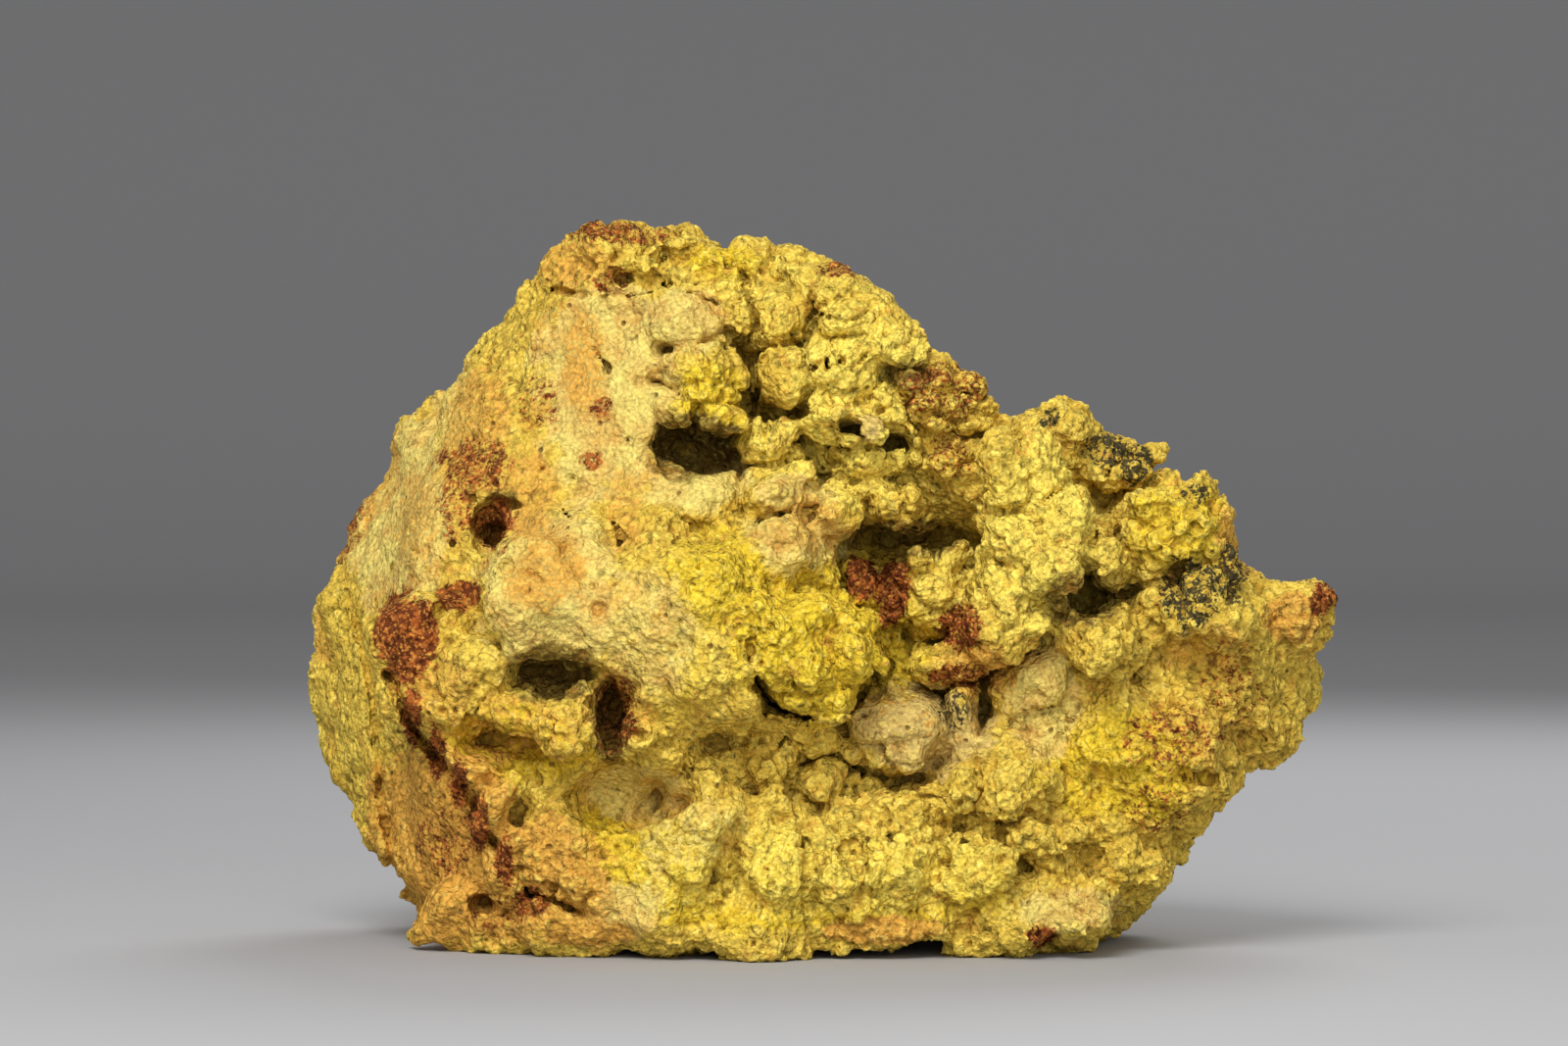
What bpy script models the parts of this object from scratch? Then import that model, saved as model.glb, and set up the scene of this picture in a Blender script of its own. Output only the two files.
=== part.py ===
"""Zincocopiapite specimen: one loose lump of earthy yellow zinc iron sulphate on its weathered matrix.

The lump is a single body. A faceted block is hollowed out by a deep vug, rounded growths fill the vug and cover
the block, holes and pits are eaten into it, and its lowest bosses are worn flat where it stands.
All tables are in millimetres, +X to the right, +Y to the back, +Z up, and z = 0 is the surface it stands on.
"""

import bmesh
import bpy
from mathutils import Matrix, Vector

MM = 0.001

# Driving dimensions, in mm. The specimen is about 110 wide, 71.5 deep and 76 high.
SPECIMEN_WIDTH = 110.0
FOOTPRINT_MIDDLE = (-1.3, -0.1)
GRAIN = 0.9
HOLE_GRAIN = 0.65
BROAD_RELIEF = (9.0, 2.4)
SMALL_RELIEF = (3.2, 1.3)
KEPT_SHARE = 0.1
SLAB_THICKNESS = 20.0

# Corners of the block that the crust grew on: (x, y, z).
TOP_CORNERS = (
    (-23, -8, 75), (-10, -9, 73.5), (-1.5, -14, 71), (-20, 9, 71), (-6, 11, 67), (9.5, -15, 62.5),
    (12, 12, 56), (30, -14, 50.5), (30, 12, 46), (43, -12, 44), (42, 12, 38),
)
RIGHT_CORNERS = (
    (51, -10, 36), (52.5, -9, 31.5), (50, -8, 24.5), (50, 7, 29), (46, -10, 17.5), (44, 12, 14),
    (36.5, -14, 8), (33.5, -16, 4.5), (33, 14, 4),
)
LEFT_CORNERS = (
    (-55.5, 18, 22.5), (-52.5, 18, 32.5), (-51.5, 20, 44), (-46, 18, 53), (-37.5, 12, 60.5),
    (-28.5, 1, 69.5), (-50.5, 12, 16), (-46.5, 7, 9.5), (-43.5, 0, 5.5),
)
FRONT_LEFT_CORNERS = (
    (-36, -3, 58), (-39.5, -11, 50), (-41.5, -16, 42), (-40, -19, 34), (-39.5, -19, 26), (-33, -23, 15),
    (-27, -24, 8), (-42, -12, 22), (-40.5, -10, 4), (-37, -16, 2.5),
)
FRONT_CORNERS = (
    (-23, -24, 2), (-4, -26, 2), (20, -24, 2), (-26, -26, 46), (-17, -26.5, 47), (-18, -18, 64),
    (-20, -28, 32), (-3, -27, 28), (0, -24, 42), (27, -21, 30), (28, -20, 42), (39, -17, 40), (41, -18, 22),
    (28, -24, 10), (8, -27, 11), (-18, -27, 11),
)
BACK_CORNERS = (
    (-40, 29, 47), (-42, 31, 26), (-35, 28, 7), (-18, 33, 51), (-10, 35.5, 30), (-8, 31, 5), (14, 32, 38),
    (18, 34, 22), (16, 28, 5), (36, 24, 33), (37, 24, 14), (-14, 24, 63), (8, 24, 52),
)

# The vug, as overlapping round spaces: (x, y, z, half width, half depth, half height).
VUG = (
    (-1.5, -30, 56, 14.5, 23, 10), (-8.5, -30, 54, 8, 22, 8.5), (8, -30, 44, 12, 25, 10),
    (12, -28, 33, 9.5, 18, 9), (9, -28, 23, 12, 15, 7.5), (21, -26, 26, 5.5, 13, 6.5),
    (-4, -30, 19.5, 8.5, 9.5, 4.8), (31, -24, 49, 5.5, 12, 5.5), (19.5, -26, 58, 4.5, 20, 4.5),
    (-10.5, -30, 59.5, 6.4, 22, 5.6), (3, -32, 62, 12, 20, 5),
)

# Rounded growths: (x, y, z, half width, half depth, half height).
LEFT_GROWTHS = (
    (-13, -22, 35.5, 11.5, 14, 9.5), (1, -21, 30.5, 7.5, 13, 7), (-9, -24, 29, 7.5, 11, 5.5),
    (-25, -19, 37.5, 11, 12.5, 8.5), (-41.2, -17, 33.2, 4.8, 7.5, 5.4), (-35.5, -17, 27.5, 8, 10.5, 5.5),
    (-24.5, -20, 24.5, 6.5, 10.5, 4.6), (-8, -27.5, 25, 2.4, 4.5, 2.4), (-17, -22, 23.5, 3.4, 9, 4.6),
    (-52, 16, 28, 4.5, 8, 8), (-40, -17, 24, 2.6, 6, 3.6), (-36.5, -19.5, 19.5, 2.6, 6, 3.6),
    (-33, -21.5, 14.5, 2.4, 5.5, 3.6), (-29.5, -22.5, 9.5, 2.6, 5, 3.4),
)
TOP_GROWTHS = (
    (-11.8, -11, 63.8, 4.6, 9.5, 3.8), (-3.8, -11, 66, 4.2, 8, 4.6), (-8.6, -11, 65.8, 2.7, 8, 3.6),
    (-1, -12, 70.5, 3.6, 5.5, 2.8), (2.8, -12, 67.6, 3.4, 7.5, 3), (7, -13, 65.4, 3.2, 7, 2.8),
    (10.5, -14, 62.3, 3, 5.5, 2.8), (-20, -8, 73.6, 4.5, 5, 2.8), (-11, -10, 72.6, 3.8, 5.5, 2.8),
    (-16, -12, 67.5, 3.6, 6, 2.6), (9.8, -13.5, 58.8, 2.6, 6.5, 2.4),
)
VUG_GROWTHS = (
    (-10.6, -14, 58.8, 3.8, 8.5, 3.2), (-9.6, -14, 55.2, 3, 8, 3.2), (-3, -12, 60.4, 2.9, 8.5, 3.8),
    (2, -12, 61, 4.2, 9, 4.2), (6.6, -12, 60.4, 2.3, 8.5, 3.6), (2.7, -13, 54.8, 5.2, 8.5, 2.9),
    (-4.6, -13, 52.4, 3.4, 8.5, 3.6), (5.6, -13, 50.6, 4.6, 8.5, 3.2), (-3.2, -17, 47, 4.6, 7.5, 2.8),
    (2.6, -15.5, 46, 3.2, 7.5, 2.9), (7.6, -14, 46.4, 3.2, 8, 2.6), (-2.5, -18, 41.8, 6.5, 9.5, 5),
    (-12, -15, 46, 7, 9.5, 4.4), (13.2, -9, 37.6, 5.2, 9.5, 5.2), (5.8, -13, 37, 2, 8, 4.4),
    (13, -12, 57, 4.8, 8.5, 4.2), (13.4, -11, 50.6, 3.6, 8, 3.8), (14.6, -15, 29.8, 4.4, 8.5, 2.6),
    (9.4, -13, 23.6, 7.2, 11.5, 5), (22.4, -12, 26.4, 4.2, 9.5, 5.6), (0.6, -17, 22.8, 4.4, 8.5, 3.2),
    (-4.2, -19, 18.2, 2.6, 7.5, 3), (2.2, -18, 18.6, 2.8, 8, 2.6),
)
RIGHT_GROWTHS = (
    (21.8, -14, 47.8, 6.2, 13, 7.4), (24, -16, 39.6, 6.8, 12.5, 6.6), (19.8, -17, 33.6, 4.2, 10.5, 4.2),
    (24.6, -14, 55.4, 3.8, 7, 3), (29.4, -11.5, 51, 2.2, 5, 2.2), (33, -12, 49.6, 2.6, 5, 2),
    (37.8, -14, 43.6, 6.6, 10, 5.6), (31, -15, 38.4, 3.2, 9, 2.2), (40, -11, 34.5, 8, 12.5, 7),
    (30.6, -15, 31.2, 6.8, 12, 5.2), (49, -9, 34, 4.8, 6.5, 4.6), (21.6, -19, 16.2, 4.4, 8.5, 3.8),
    (18.8, -16, 21.2, 4, 8.5, 3.2), (14.8, -19, 16.4, 3, 8.5, 3.6), (9.8, -19, 16, 3, 8, 3.6),
    (35, -12, 22, 9, 11.5, 8), (43, -8, 26, 8, 10.5, 7),
)
LOW_GROWTHS = (
    (-24.5, -20.5, 3.4, 5, 6, 4.4), (-4.3, -23, 3.6, 4.8, 6.5, 4.6), (19, -20.5, 3.4, 4.8, 6, 4.4),
    (26.5, -17.5, 4.6, 5.5, 7.5, 4.4), (-37, -12, 5, 5.5, 6.5, 4.4), (6, -23, 4.2, 5, 6, 3.6),
    (-14.5, -22, 4.4, 5, 6.5, 3.6), (-22, -22.5, 10, 6, 7, 4.6), (-11.5, -23.5, 10, 6, 7, 4.8),
    (-1.5, -24, 10.5, 5.5, 7, 4.6), (8, -23.5, 9.5, 5.5, 7, 4.4), (16.5, -22.5, 9.5, 4.6, 7, 4.4),
    (24, -20, 11, 4.4, 7, 4), (33, -12, 9, 4.6, 8, 4.6), (-30, 17, 5, 9, 8, 6), (22, 16, 5, 9, 8, 6),
    (-4, 20, 6, 10, 8, 5.4),
)

# Holes and hollows: (x, y, z, half width, half depth, half height).
VUG_HOLES = (
    (-12, -15, 51.4, 4.8, 10, 3), (-9, -14, 50.6, 3.2, 9, 2.6), (-6.4, -19, 58.8, 1.1, 9, 3.8),
    (-3.4, -18, 56.4, 3.6, 9, 1.2), (10.5, -10, 42.8, 7, 14, 2.2), (8.4, -17, 53.3, 1.8, 9, 1.3),
    (7.2, -20, 28.6, 1.5, 10, 2.2), (18.4, -22, 26, 1.2, 11, 3.4), (10.4, -24, 18.2, 2.6, 9, 1.4),
    (28.4, -20, 36.4, 3, 16, 2.4), (33.6, -20, 36.8, 2.2, 9, 1.2), (29.5, -24, 43.4, 1, 9, 2.6),
)
LOW_HOLES = (
    (-27.2, -27, 29.6, 3.9, 10, 2.2), (-21, -28, 24.4, 1.9, 12, 4.6), (-20.5, -27, 16.4, 4.8, 12, 3.8),
    (-15.5, -27, 16.8, 4.4, 11, 3.5), (-32.6, -29, 22, 4.6, 8, 2.2), (-11.6, -31, 21, 2.4, 7, 2.4),
    (29.4, -26, 9.6, 3.6, 8, 2.4), (-33.2, -18, 44.6, 2.1, 6, 3.4), (-34.4, -22, 7, 2, 4.5, 2),
    (38.4, -23, 18.4, 1.2, 5, 1.2), (-19.2, -15, 69.6, 3.8, 4.5, 2.2),
)
BACK_HOLES = (
    (-22, 37, 38, 6, 5, 4), (4, 37.5, 20, 5, 5.5, 3.6), (26, 31, 26, 5, 4.5, 4),
)

YELLOW_OCHRE = (0.62, 0.42, 0.10, 1.0)
EARTHY_ROUGHNESS = 0.92


def clear_scene():
    for item in list(bpy.data.objects):
        bpy.data.objects.remove(item, do_unlink=True)


def new_object(name, mesh):
    item = bpy.data.objects.new(name, mesh)
    bpy.context.scene.collection.objects.link(item)
    return item


def as_guide(item):
    item.hide_render = True
    item.display_type = "WIRE"
    return item


def earthy_material(name, colour, roughness):
    material = bpy.data.materials.new(name)
    material.use_nodes = True
    shader = material.node_tree.nodes["Principled BSDF"]
    shader.inputs["Base Color"].default_value = colour
    shader.inputs["Roughness"].default_value = roughness
    shader.inputs["Metallic"].default_value = 0.0
    return material


def settled(x, y, z):
    """A table point, in metres, with the middle of the footprint at the origin."""
    return Vector(((x - FOOTPRINT_MIDDLE[0]) * MM, (y - FOOTPRINT_MIDDLE[1]) * MM, z * MM))


def block_mesh(name, corners):
    """The convex block with these corners."""
    shape = bmesh.new()
    for corner in corners:
        shape.verts.new(settled(*corner))
    hull = bmesh.ops.convex_hull(shape, input=shape.verts)
    inside = [v for v in hull["geom_interior"] if isinstance(v, bmesh.types.BMVert)]
    bmesh.ops.delete(shape, geom=inside, context="VERTS")
    bmesh.ops.recalc_face_normals(shape, faces=shape.faces)
    mesh = bpy.data.meshes.new(name)
    shape.to_mesh(mesh)
    shape.free()
    return mesh


def rounds_mesh(name, table):
    """One ball for each row of the table, stretched to its three half sizes."""
    shape = bmesh.new()
    for x, y, z, half_width, half_depth, half_height in table:
        place = Matrix.Translation(settled(x, y, z))
        stretch = Matrix.Diagonal((half_width * MM, half_depth * MM, half_height * MM, 1.0))
        bmesh.ops.create_icosphere(shape, subdivisions=3, radius=1.0, matrix=place @ stretch)
    mesh = bpy.data.meshes.new(name)
    shape.to_mesh(mesh)
    shape.free()
    return mesh


def fuse(item, grain):
    """Melts overlapping shells into one skin."""
    skin = item.modifiers.new("fuse", "REMESH")
    skin.mode = "VOXEL"
    skin.voxel_size = grain * MM


def ease(item):
    """Rounds the sharp seams that the cuts leave."""
    soft = item.modifiers.new("ease", "SMOOTH")
    soft.factor = 0.4
    soft.iterations = 2


def roughen(item, name, lump_size, height):
    """Pushes the skin in and out in clouded lumps of this size, by up to about half of height."""
    texture = bpy.data.textures.new(name, "CLOUDS")
    texture.noise_scale = lump_size * MM
    relief = item.modifiers.new(name, "DISPLACE")
    relief.texture = texture
    relief.texture_coords = "LOCAL"
    relief.strength = height * MM


def combine(item, other, operation):
    step = item.modifiers.new(other.name, "BOOLEAN")
    step.operation = operation
    step.solver = "EXACT"
    step.object = other


def guide_of_rounds(name, table, grain):
    guide = as_guide(new_object(name, rounds_mesh(name, table)))
    fuse(guide, grain)
    return guide


def standing_surface():
    """A slab whose top is z = 0. What would reach below it is worn away."""
    shape = bmesh.new()
    side = 2.0 * SPECIMEN_WIDTH * MM
    slab = Matrix.Translation((0.0, 0.0, -SLAB_THICKNESS * MM / 2.0))
    slab = slab @ Matrix.Diagonal((side, side, SLAB_THICKNESS * MM, 1.0))
    bmesh.ops.create_cube(shape, size=1.0, matrix=slab)
    mesh = bpy.data.meshes.new("standing_surface")
    shape.to_mesh(mesh)
    shape.free()
    return as_guide(new_object("standing_surface", mesh))


def lump():
    corners = TOP_CORNERS + RIGHT_CORNERS + LEFT_CORNERS + FRONT_LEFT_CORNERS + FRONT_CORNERS + BACK_CORNERS
    growths = LEFT_GROWTHS + TOP_GROWTHS + VUG_GROWTHS + RIGHT_GROWTHS + LOW_GROWTHS
    holes = VUG_HOLES + LOW_HOLES + BACK_HOLES
    mass = new_object("zincocopiapite_mass", block_mesh("zincocopiapite_mass", corners))
    combine(mass, guide_of_rounds("vug_space", VUG, GRAIN), "DIFFERENCE")
    fuse(mass, GRAIN)
    combine(mass, guide_of_rounds("growths", growths, GRAIN), "UNION")
    fuse(mass, GRAIN)
    combine(mass, guide_of_rounds("holes", holes, HOLE_GRAIN), "DIFFERENCE")
    fuse(mass, GRAIN)
    ease(mass)
    roughen(mass, "broad_relief", *BROAD_RELIEF)
    roughen(mass, "small_relief", *SMALL_RELIEF)
    fuse(mass, GRAIN)
    thin = mass.modifiers.new("thin", "DECIMATE")
    thin.ratio = KEPT_SHARE
    combine(mass, standing_surface(), "DIFFERENCE")
    mass.data.materials.append(earthy_material("zincocopiapite", YELLOW_OCHRE, EARTHY_ROUGHNESS))


clear_scene()
lump()
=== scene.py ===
"""Zincocopiapite specimen: the finished skin of one earthy yellow lump, made from a field of distances.

Lengths are millimetres until a mesh is made. +X is right, +Y is back, +Z is up, and it stands on z = 0.
"Seen" places are (x, z) on the upright plane SEEN_DISTANCE from the eye, as the front is looked at.
"""

import bmesh
import bpy
import numpy as np
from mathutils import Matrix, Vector, geometry


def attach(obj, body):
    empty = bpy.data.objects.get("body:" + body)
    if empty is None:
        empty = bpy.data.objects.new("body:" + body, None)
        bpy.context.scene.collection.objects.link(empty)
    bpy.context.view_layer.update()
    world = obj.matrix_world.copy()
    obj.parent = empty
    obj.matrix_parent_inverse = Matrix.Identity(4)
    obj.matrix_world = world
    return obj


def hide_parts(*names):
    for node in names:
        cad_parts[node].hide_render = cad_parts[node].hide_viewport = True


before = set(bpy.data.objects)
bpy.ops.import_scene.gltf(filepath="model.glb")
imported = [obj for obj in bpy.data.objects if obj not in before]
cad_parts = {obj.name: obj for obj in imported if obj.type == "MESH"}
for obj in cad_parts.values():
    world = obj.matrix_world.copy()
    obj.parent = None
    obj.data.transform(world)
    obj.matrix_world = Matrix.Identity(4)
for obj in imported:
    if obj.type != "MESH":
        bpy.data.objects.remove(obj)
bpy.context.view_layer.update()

MM = 0.001
NODE = "zincocopiapite_mass"

# The eye that sees the front: its place, pitch in degrees, lens and sensor, and how far the seen plane is.
EYE = (-2.5, -624.9, 46.6)
EYE_PITCH = -0.2
LENS = 135.0
SENSOR = 36.0
SEEN_DISTANCE = 600.0

# The block of points that the field is worked out on, and the coarser step of the hull's own block.
LOW = (-57.2, -37.4, -0.7)
HIGH = (57.2, 37.4, 78.0)
STEP = 0.33
COARSE_STEP = 1.2

# Corners of the block that the crust grew on: (x, y, z).
TOP_CORNERS = (
    (-23, -8, 76.4), (-10, -9, 75.2), (-1.5, -14, 72), (-20, 9, 71), (-6, 11, 67), (9.5, -15, 62.5),
    (12, 12, 56), (30, -14, 50.5), (30, 12, 46), (43, -12, 44), (42, 12, 38),
)
RIGHT_CORNERS = (
    (53, -10, 36), (55.5, -9, 31.5), (51.5, -8, 25), (50, 7, 29), (48.6, -10, 18.8), (45, 12, 15),
    (41, -14, 10.5), (36, -16, 4.5), (33, 14, 4),
)
LEFT_CORNERS = (
    (-57.8, 18, 25), (-54.5, 18, 32.5), (-51.5, 20, 44), (-48, 18, 53.5), (-38, 12, 59.3), (-29, 1, 68.3),
    (-50.5, 12, 16), (-46.5, 7, 9.5), (-43.5, 0, 5.5),
)
FRONT_LEFT_CORNERS = (
    (-36, -3, 58), (-39.5, -11, 50), (-41.5, -16, 42), (-40, -19, 34), (-39.5, -19, 26), (-33, -23, 15),
    (-27, -24, 8), (-42, -12, 22), (-40.5, -10, 4), (-37, -16, 2.5),
)
FRONT_CORNERS = (
    (-23, -24, 2), (-4, -26, 2), (20, -24, 2), (-26, -26, 46), (-17, -26.5, 47), (-18, -18, 64),
    (-20, -28, 32), (-3, -27, 28), (0, -24, 42), (27, -21, 30), (28, -20, 42), (39, -17, 40), (41, -18, 22),
    (28, -24, 10), (8, -27, 11), (-18, -27, 11),
)
BACK_CORNERS = (
    (-40, 29, 47), (-42, 31, 26), (-35, 28, 7), (-18, 33, 51), (-10, 35.5, 30), (-8, 31, 5), (14, 32, 38),
    (18, 34, 22), (16, 28, 5), (36, 24, 33), (37, 24, 14), (-14, 24, 63), (8, 24, 52),
)

# The vug, as overlapping round spaces: (x, y, z, half width, half depth, half height).
VUG = (
    (-1.5, -30, 56, 14.5, 23, 10), (-8.5, -30, 54, 8, 22, 8.5), (8, -30, 44, 12, 25, 10),
    (12, -28, 33, 9.5, 18, 9), (9, -28, 23, 12, 15, 7.5), (21, -26, 26, 5.5, 13, 6.5),
    (-4, -30, 19.5, 8.5, 9.5, 4.8), (31, -24, 49, 5.5, 12, 5.5), (19.5, -26, 58, 4.5, 20, 4.5),
    (-10.5, -30, 59.5, 6.4, 22, 5.6), (3, -32, 62, 12, 20, 5),
)

# Rounded growths: (x, y, z, half width, half depth, half height).
LEFT_GROWTHS = (
    (-13, -22, 35.5, 11.5, 14, 9.5), (1, -21, 30.5, 7.5, 13, 7), (-3, -22, 35, 7.5, 12, 5.6),
    (-9, -24, 29, 7.5, 11, 5.5), (-25, -19, 37.5, 11, 12.5, 8.5), (-41.2, -17, 33.2, 4.8, 7.5, 5.4),
    (-35.5, -17, 27.5, 8, 10.5, 5.5), (-24.5, -20, 24.5, 6.5, 10.5, 4.6), (-8, -27.5, 25, 2.4, 4.5, 2.4),
    (-17, -22, 23.5, 3.4, 9, 4.6), (-40, -17, 24, 2.6, 6, 3.6), (-36.5, -19.5, 19.5, 2.6, 6, 3.6),
    (-33, -21.5, 14.5, 2.4, 5.5, 3.6), (-29.5, -22.5, 9.5, 2.6, 5, 3.4),
)
TOP_GROWTHS = (
    (-6.5, -10, 71.6, 4, 6, 2.6), (-2.4, -11, 70.4, 3.4, 5, 2.6), (-11.8, -11, 63.8, 4.6, 9.5, 3.8),
    (-3.8, -11, 65.4, 4.2, 8.6, 4.4), (-8.6, -11, 65.8, 2.7, 8, 3.6), (-20, -8, 73.6, 4.5, 5, 2.8),
    (-21.6, -9, 73.8, 3.6, 5, 2.2), (-14, -8, 73.2, 5, 5, 2), (-10.4, -10, 71.6, 4.4, 5.5, 2.5),
    (-16, -12, 67.5, 3.6, 6, 2.6), (9.8, -13.5, 58.8, 2.6, 6.5, 2.4),
)
VUG_GROWTHS = (
    (-11.4, -14.5, 59.6, 4.8, 9.5, 3.8), (-13, -16, 56.4, 3.4, 8, 2.8), (7.6, -12.5, 57.6, 3.6, 8.5, 3.4),
    (9.6, -12.5, 53.4, 3.2, 8, 3.2), (6.4, -13, 47.6, 4, 8, 2.6), (-9.4, -15, 55.6, 3.4, 8.5, 3),
    (-3, -12.5, 60.2, 3.2, 8.8, 4.1), (3, -13.8, 60.2, 6, 9, 4.9), (6.6, -12, 60.4, 2.3, 8.5, 3.6),
    (4, -15, 55, 6.2, 9, 3.1), (-4.6, -13, 52.4, 3.4, 8.5, 3.6), (5.6, -13, 50.6, 4.6, 8.5, 3.2),
    (-3.2, -17, 47, 4.6, 7.5, 2.8), (2.6, -15.5, 46, 3.2, 7.5, 2.9), (7.6, -14, 46.4, 3.2, 8, 2.6),
    (-12, -15, 46, 7, 9.5, 4.4), (13.2, -9, 37.6, 5.2, 9.5, 5.2), (5.8, -13, 37, 2, 8, 4.4),
    (13, -12, 57, 4.8, 8.5, 4.2), (13.4, -11, 50.6, 3.6, 8, 3.8), (14.6, -15, 29.8, 4.4, 8.5, 2.6),
    (9.6, -14.5, 23.4, 6.8, 11.5, 4.9), (16.2, -13.4, 24.8, 3.2, 10.6, 4.6),
    (22.4, -12, 26.4, 4.2, 9.5, 5.6), (0.6, -17, 22.8, 4.4, 8.5, 3.2), (-4.2, -19, 18.2, 2.6, 7.5, 3),
    (2.2, -18, 18.6, 2.8, 8, 2.6),
)
RIGHT_GROWTHS = (
    (-0.8, -11.5, 69.2, 4.8, 7.5, 3.4), (3.4, -12.4, 66.4, 5.2, 8.5, 3.6),
    (8.2, -13.4, 63.6, 4.6, 8.5, 3.4), (12.4, -12.6, 60.4, 4.2, 7.5, 3.2), (6.5, -8, 51.8, 9.5, 9, 7.2),
    (12.8, -11.5, 51.5, 4.6, 8.5, 6), (-2.5, -17.5, 41.6, 7.2, 9.5, 5), (21.8, -14, 47.8, 6.2, 13, 7.4),
    (24, -16, 39.6, 6.8, 12.5, 6.6), (19.8, -17, 33.6, 4.2, 10.5, 4.2), (27.4, -13, 55.6, 3, 6, 2.4),
    (23, -14, 53.4, 4, 7, 2.4), (29.8, -11.5, 52, 2.4, 5, 2.2), (33.2, -12, 50.6, 2.8, 5, 2),
    (38.8, -14, 43.6, 6.8, 10, 5.4), (31, -15, 38.4, 3.2, 9, 2.2), (40, -11, 34.5, 8, 12.5, 7),
    (30.6, -15, 31.2, 6.8, 12, 5.2), (49, -9, 34, 4.8, 6.5, 4.6), (52.4, -10, 36.4, 2.6, 3.5, 2),
    (21.6, -19, 16.2, 4.4, 8.5, 3.8), (18.8, -16, 21.2, 4, 8.5, 3.2), (14.8, -19, 16.4, 3, 8.5, 3.6),
    (9.8, -19, 16, 3, 8, 3.6), (35, -12, 20, 9.5, 11.5, 8), (42.5, -8, 28, 7, 10.5, 7),
)
LOW_GROWTHS = (
    (-24.5, -20.5, 3.4, 5, 6, 4.4), (-4.3, -23, 3.6, 4.8, 6.5, 4.6), (19, -20.5, 3.4, 4.8, 6, 4.4),
    (26.5, -17.5, 4.6, 5.5, 7.5, 4.4), (-35.5, -12, 5, 5.5, 6.5, 4.4), (-30, -17, 3.6, 5, 6, 4),
    (6, -23, 4.2, 5, 6, 3.6), (-14.5, -22, 4.4, 5, 6.5, 3.6), (-22, -22.5, 10, 6, 7, 4.6),
    (-11.5, -23.5, 10, 6, 7, 4.8), (-1.5, -24, 10.5, 5.5, 7, 4.6), (8, -23.5, 9.5, 5.5, 7, 4.4),
    (16.5, -22.5, 9.5, 4.6, 7, 4.4), (24, -20, 11, 4.4, 7, 4), (33, -12, 9, 4.6, 8, 4.6),
    (-30, 17, 5, 9, 8, 6), (22, 16, 5, 9, 8, 6), (-4, 20, 6, 10, 8, 5.4), (12.5, -20, 6.4, 6, 6, 3.8),
    (1, -21, 6, 6, 6, 3.4), (-17, 20, 5, 9, 8, 4.4), (9, 19, 5.4, 9, 8, 4.6), (-38, 8, 6, 6, 9, 5),
    (32, 6, 6, 7, 10, 5), (4, 4, 5, 16, 9, 4), (-20, 4, 5, 12, 9, 4),
)

# Holes and hollows: (x, y, z, half width, half depth, half height).
VUG_HOLES = (
    (4, -19, 54.5, 1.5, 9, 0.8), (-13, -15, 52, 3.5, 10, 2.3), (-9.6, -14, 50.6, 3.8, 9, 2.3),
    (-6.4, -19, 58.8, 1.1, 9, 3.8), (-3.4, -18, 56.4, 3.6, 9, 1.2), (10.5, -10, 42.8, 7, 14, 2.2),
    (8.4, -17, 53.3, 1.8, 9, 1.3), (7.2, -20, 28.6, 1.5, 10, 2.2), (18.4, -22, 26, 1.2, 11, 3.4),
    (10.4, -24, 18.2, 2.6, 9, 1.4), (29.2, -22, 36.8, 3.4, 15, 3), (33.6, -20, 36.8, 2.2, 9, 1.2),
    (29.5, -24, 43.4, 1, 9, 2.6),
)
LOW_HOLES = (
    (-27.2, -27, 29.6, 3.9, 10, 2.2), (-21, -28, 25, 2, 13, 4.6), (-24, -28, 29.4, 2.6, 8, 1.2),
    (2.5, -34.5, 20.6, 8.4, 13, 3.6), (-10, -31, 21.4, 3.4, 9, 2.8), (-20.5, -27, 16.4, 5, 8.5, 3.6),
    (-15.2, -27, 15.8, 4.6, 8, 2.8), (-32.6, -26, 22, 4.8, 9, 2.5), (29.4, -26, 9.6, 3.6, 8, 2.4),
    (-33.2, -18, 44.6, 2.1, 6, 3.4), (-34.4, -22, 7, 2, 4.5, 2), (38.4, -23, 18.4, 1.2, 5, 1.2),
    (-18.6, -16, 70, 4.4, 5, 2.5),
)
BACK_HOLES = (
    (-22, 37, 38, 6, 5, 4), (4, 37.5, 20, 5, 5.5, 3.6), (26, 31, 26, 5, 4.5, 4),
)

# Buds, the small lobes that stand on the front: (seen x, seen z, half width, half height, rise).
TOP_BUDS = (
    (-12.5, 64.7, 3.6, 3, 1.6), (-13.5, 63.4, 1.5, 1.5, 0.9), (-10, 62.9, 1.4, 1.5, 0.8),
    (-7, 65.7, 1.2, 2.2, 0.8), (3.7, 65.9, 2.8, 1.6, 0.5), (8.9, 64.2, 1.6, 1.2, 0.5),
    (10.5, 62.9, 1.6, 1.3, 0.6), (13, 61.4, 1.5, 1.2, 0.7), (2.5, 68.9, 2.4, 1.6, 0.3),
    (-9.5, 67.9, 2.8, 1.8, 0.9), (-5.5, 69.5, 2.2, 1.4, 0.7), (-15, 71.5, 2.6, 1.4, 0.7),
    (-18, 66.8, 3, 1.1, 0.8), (-24, 67.5, 2.6, 1.2, 0.6),
)
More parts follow.
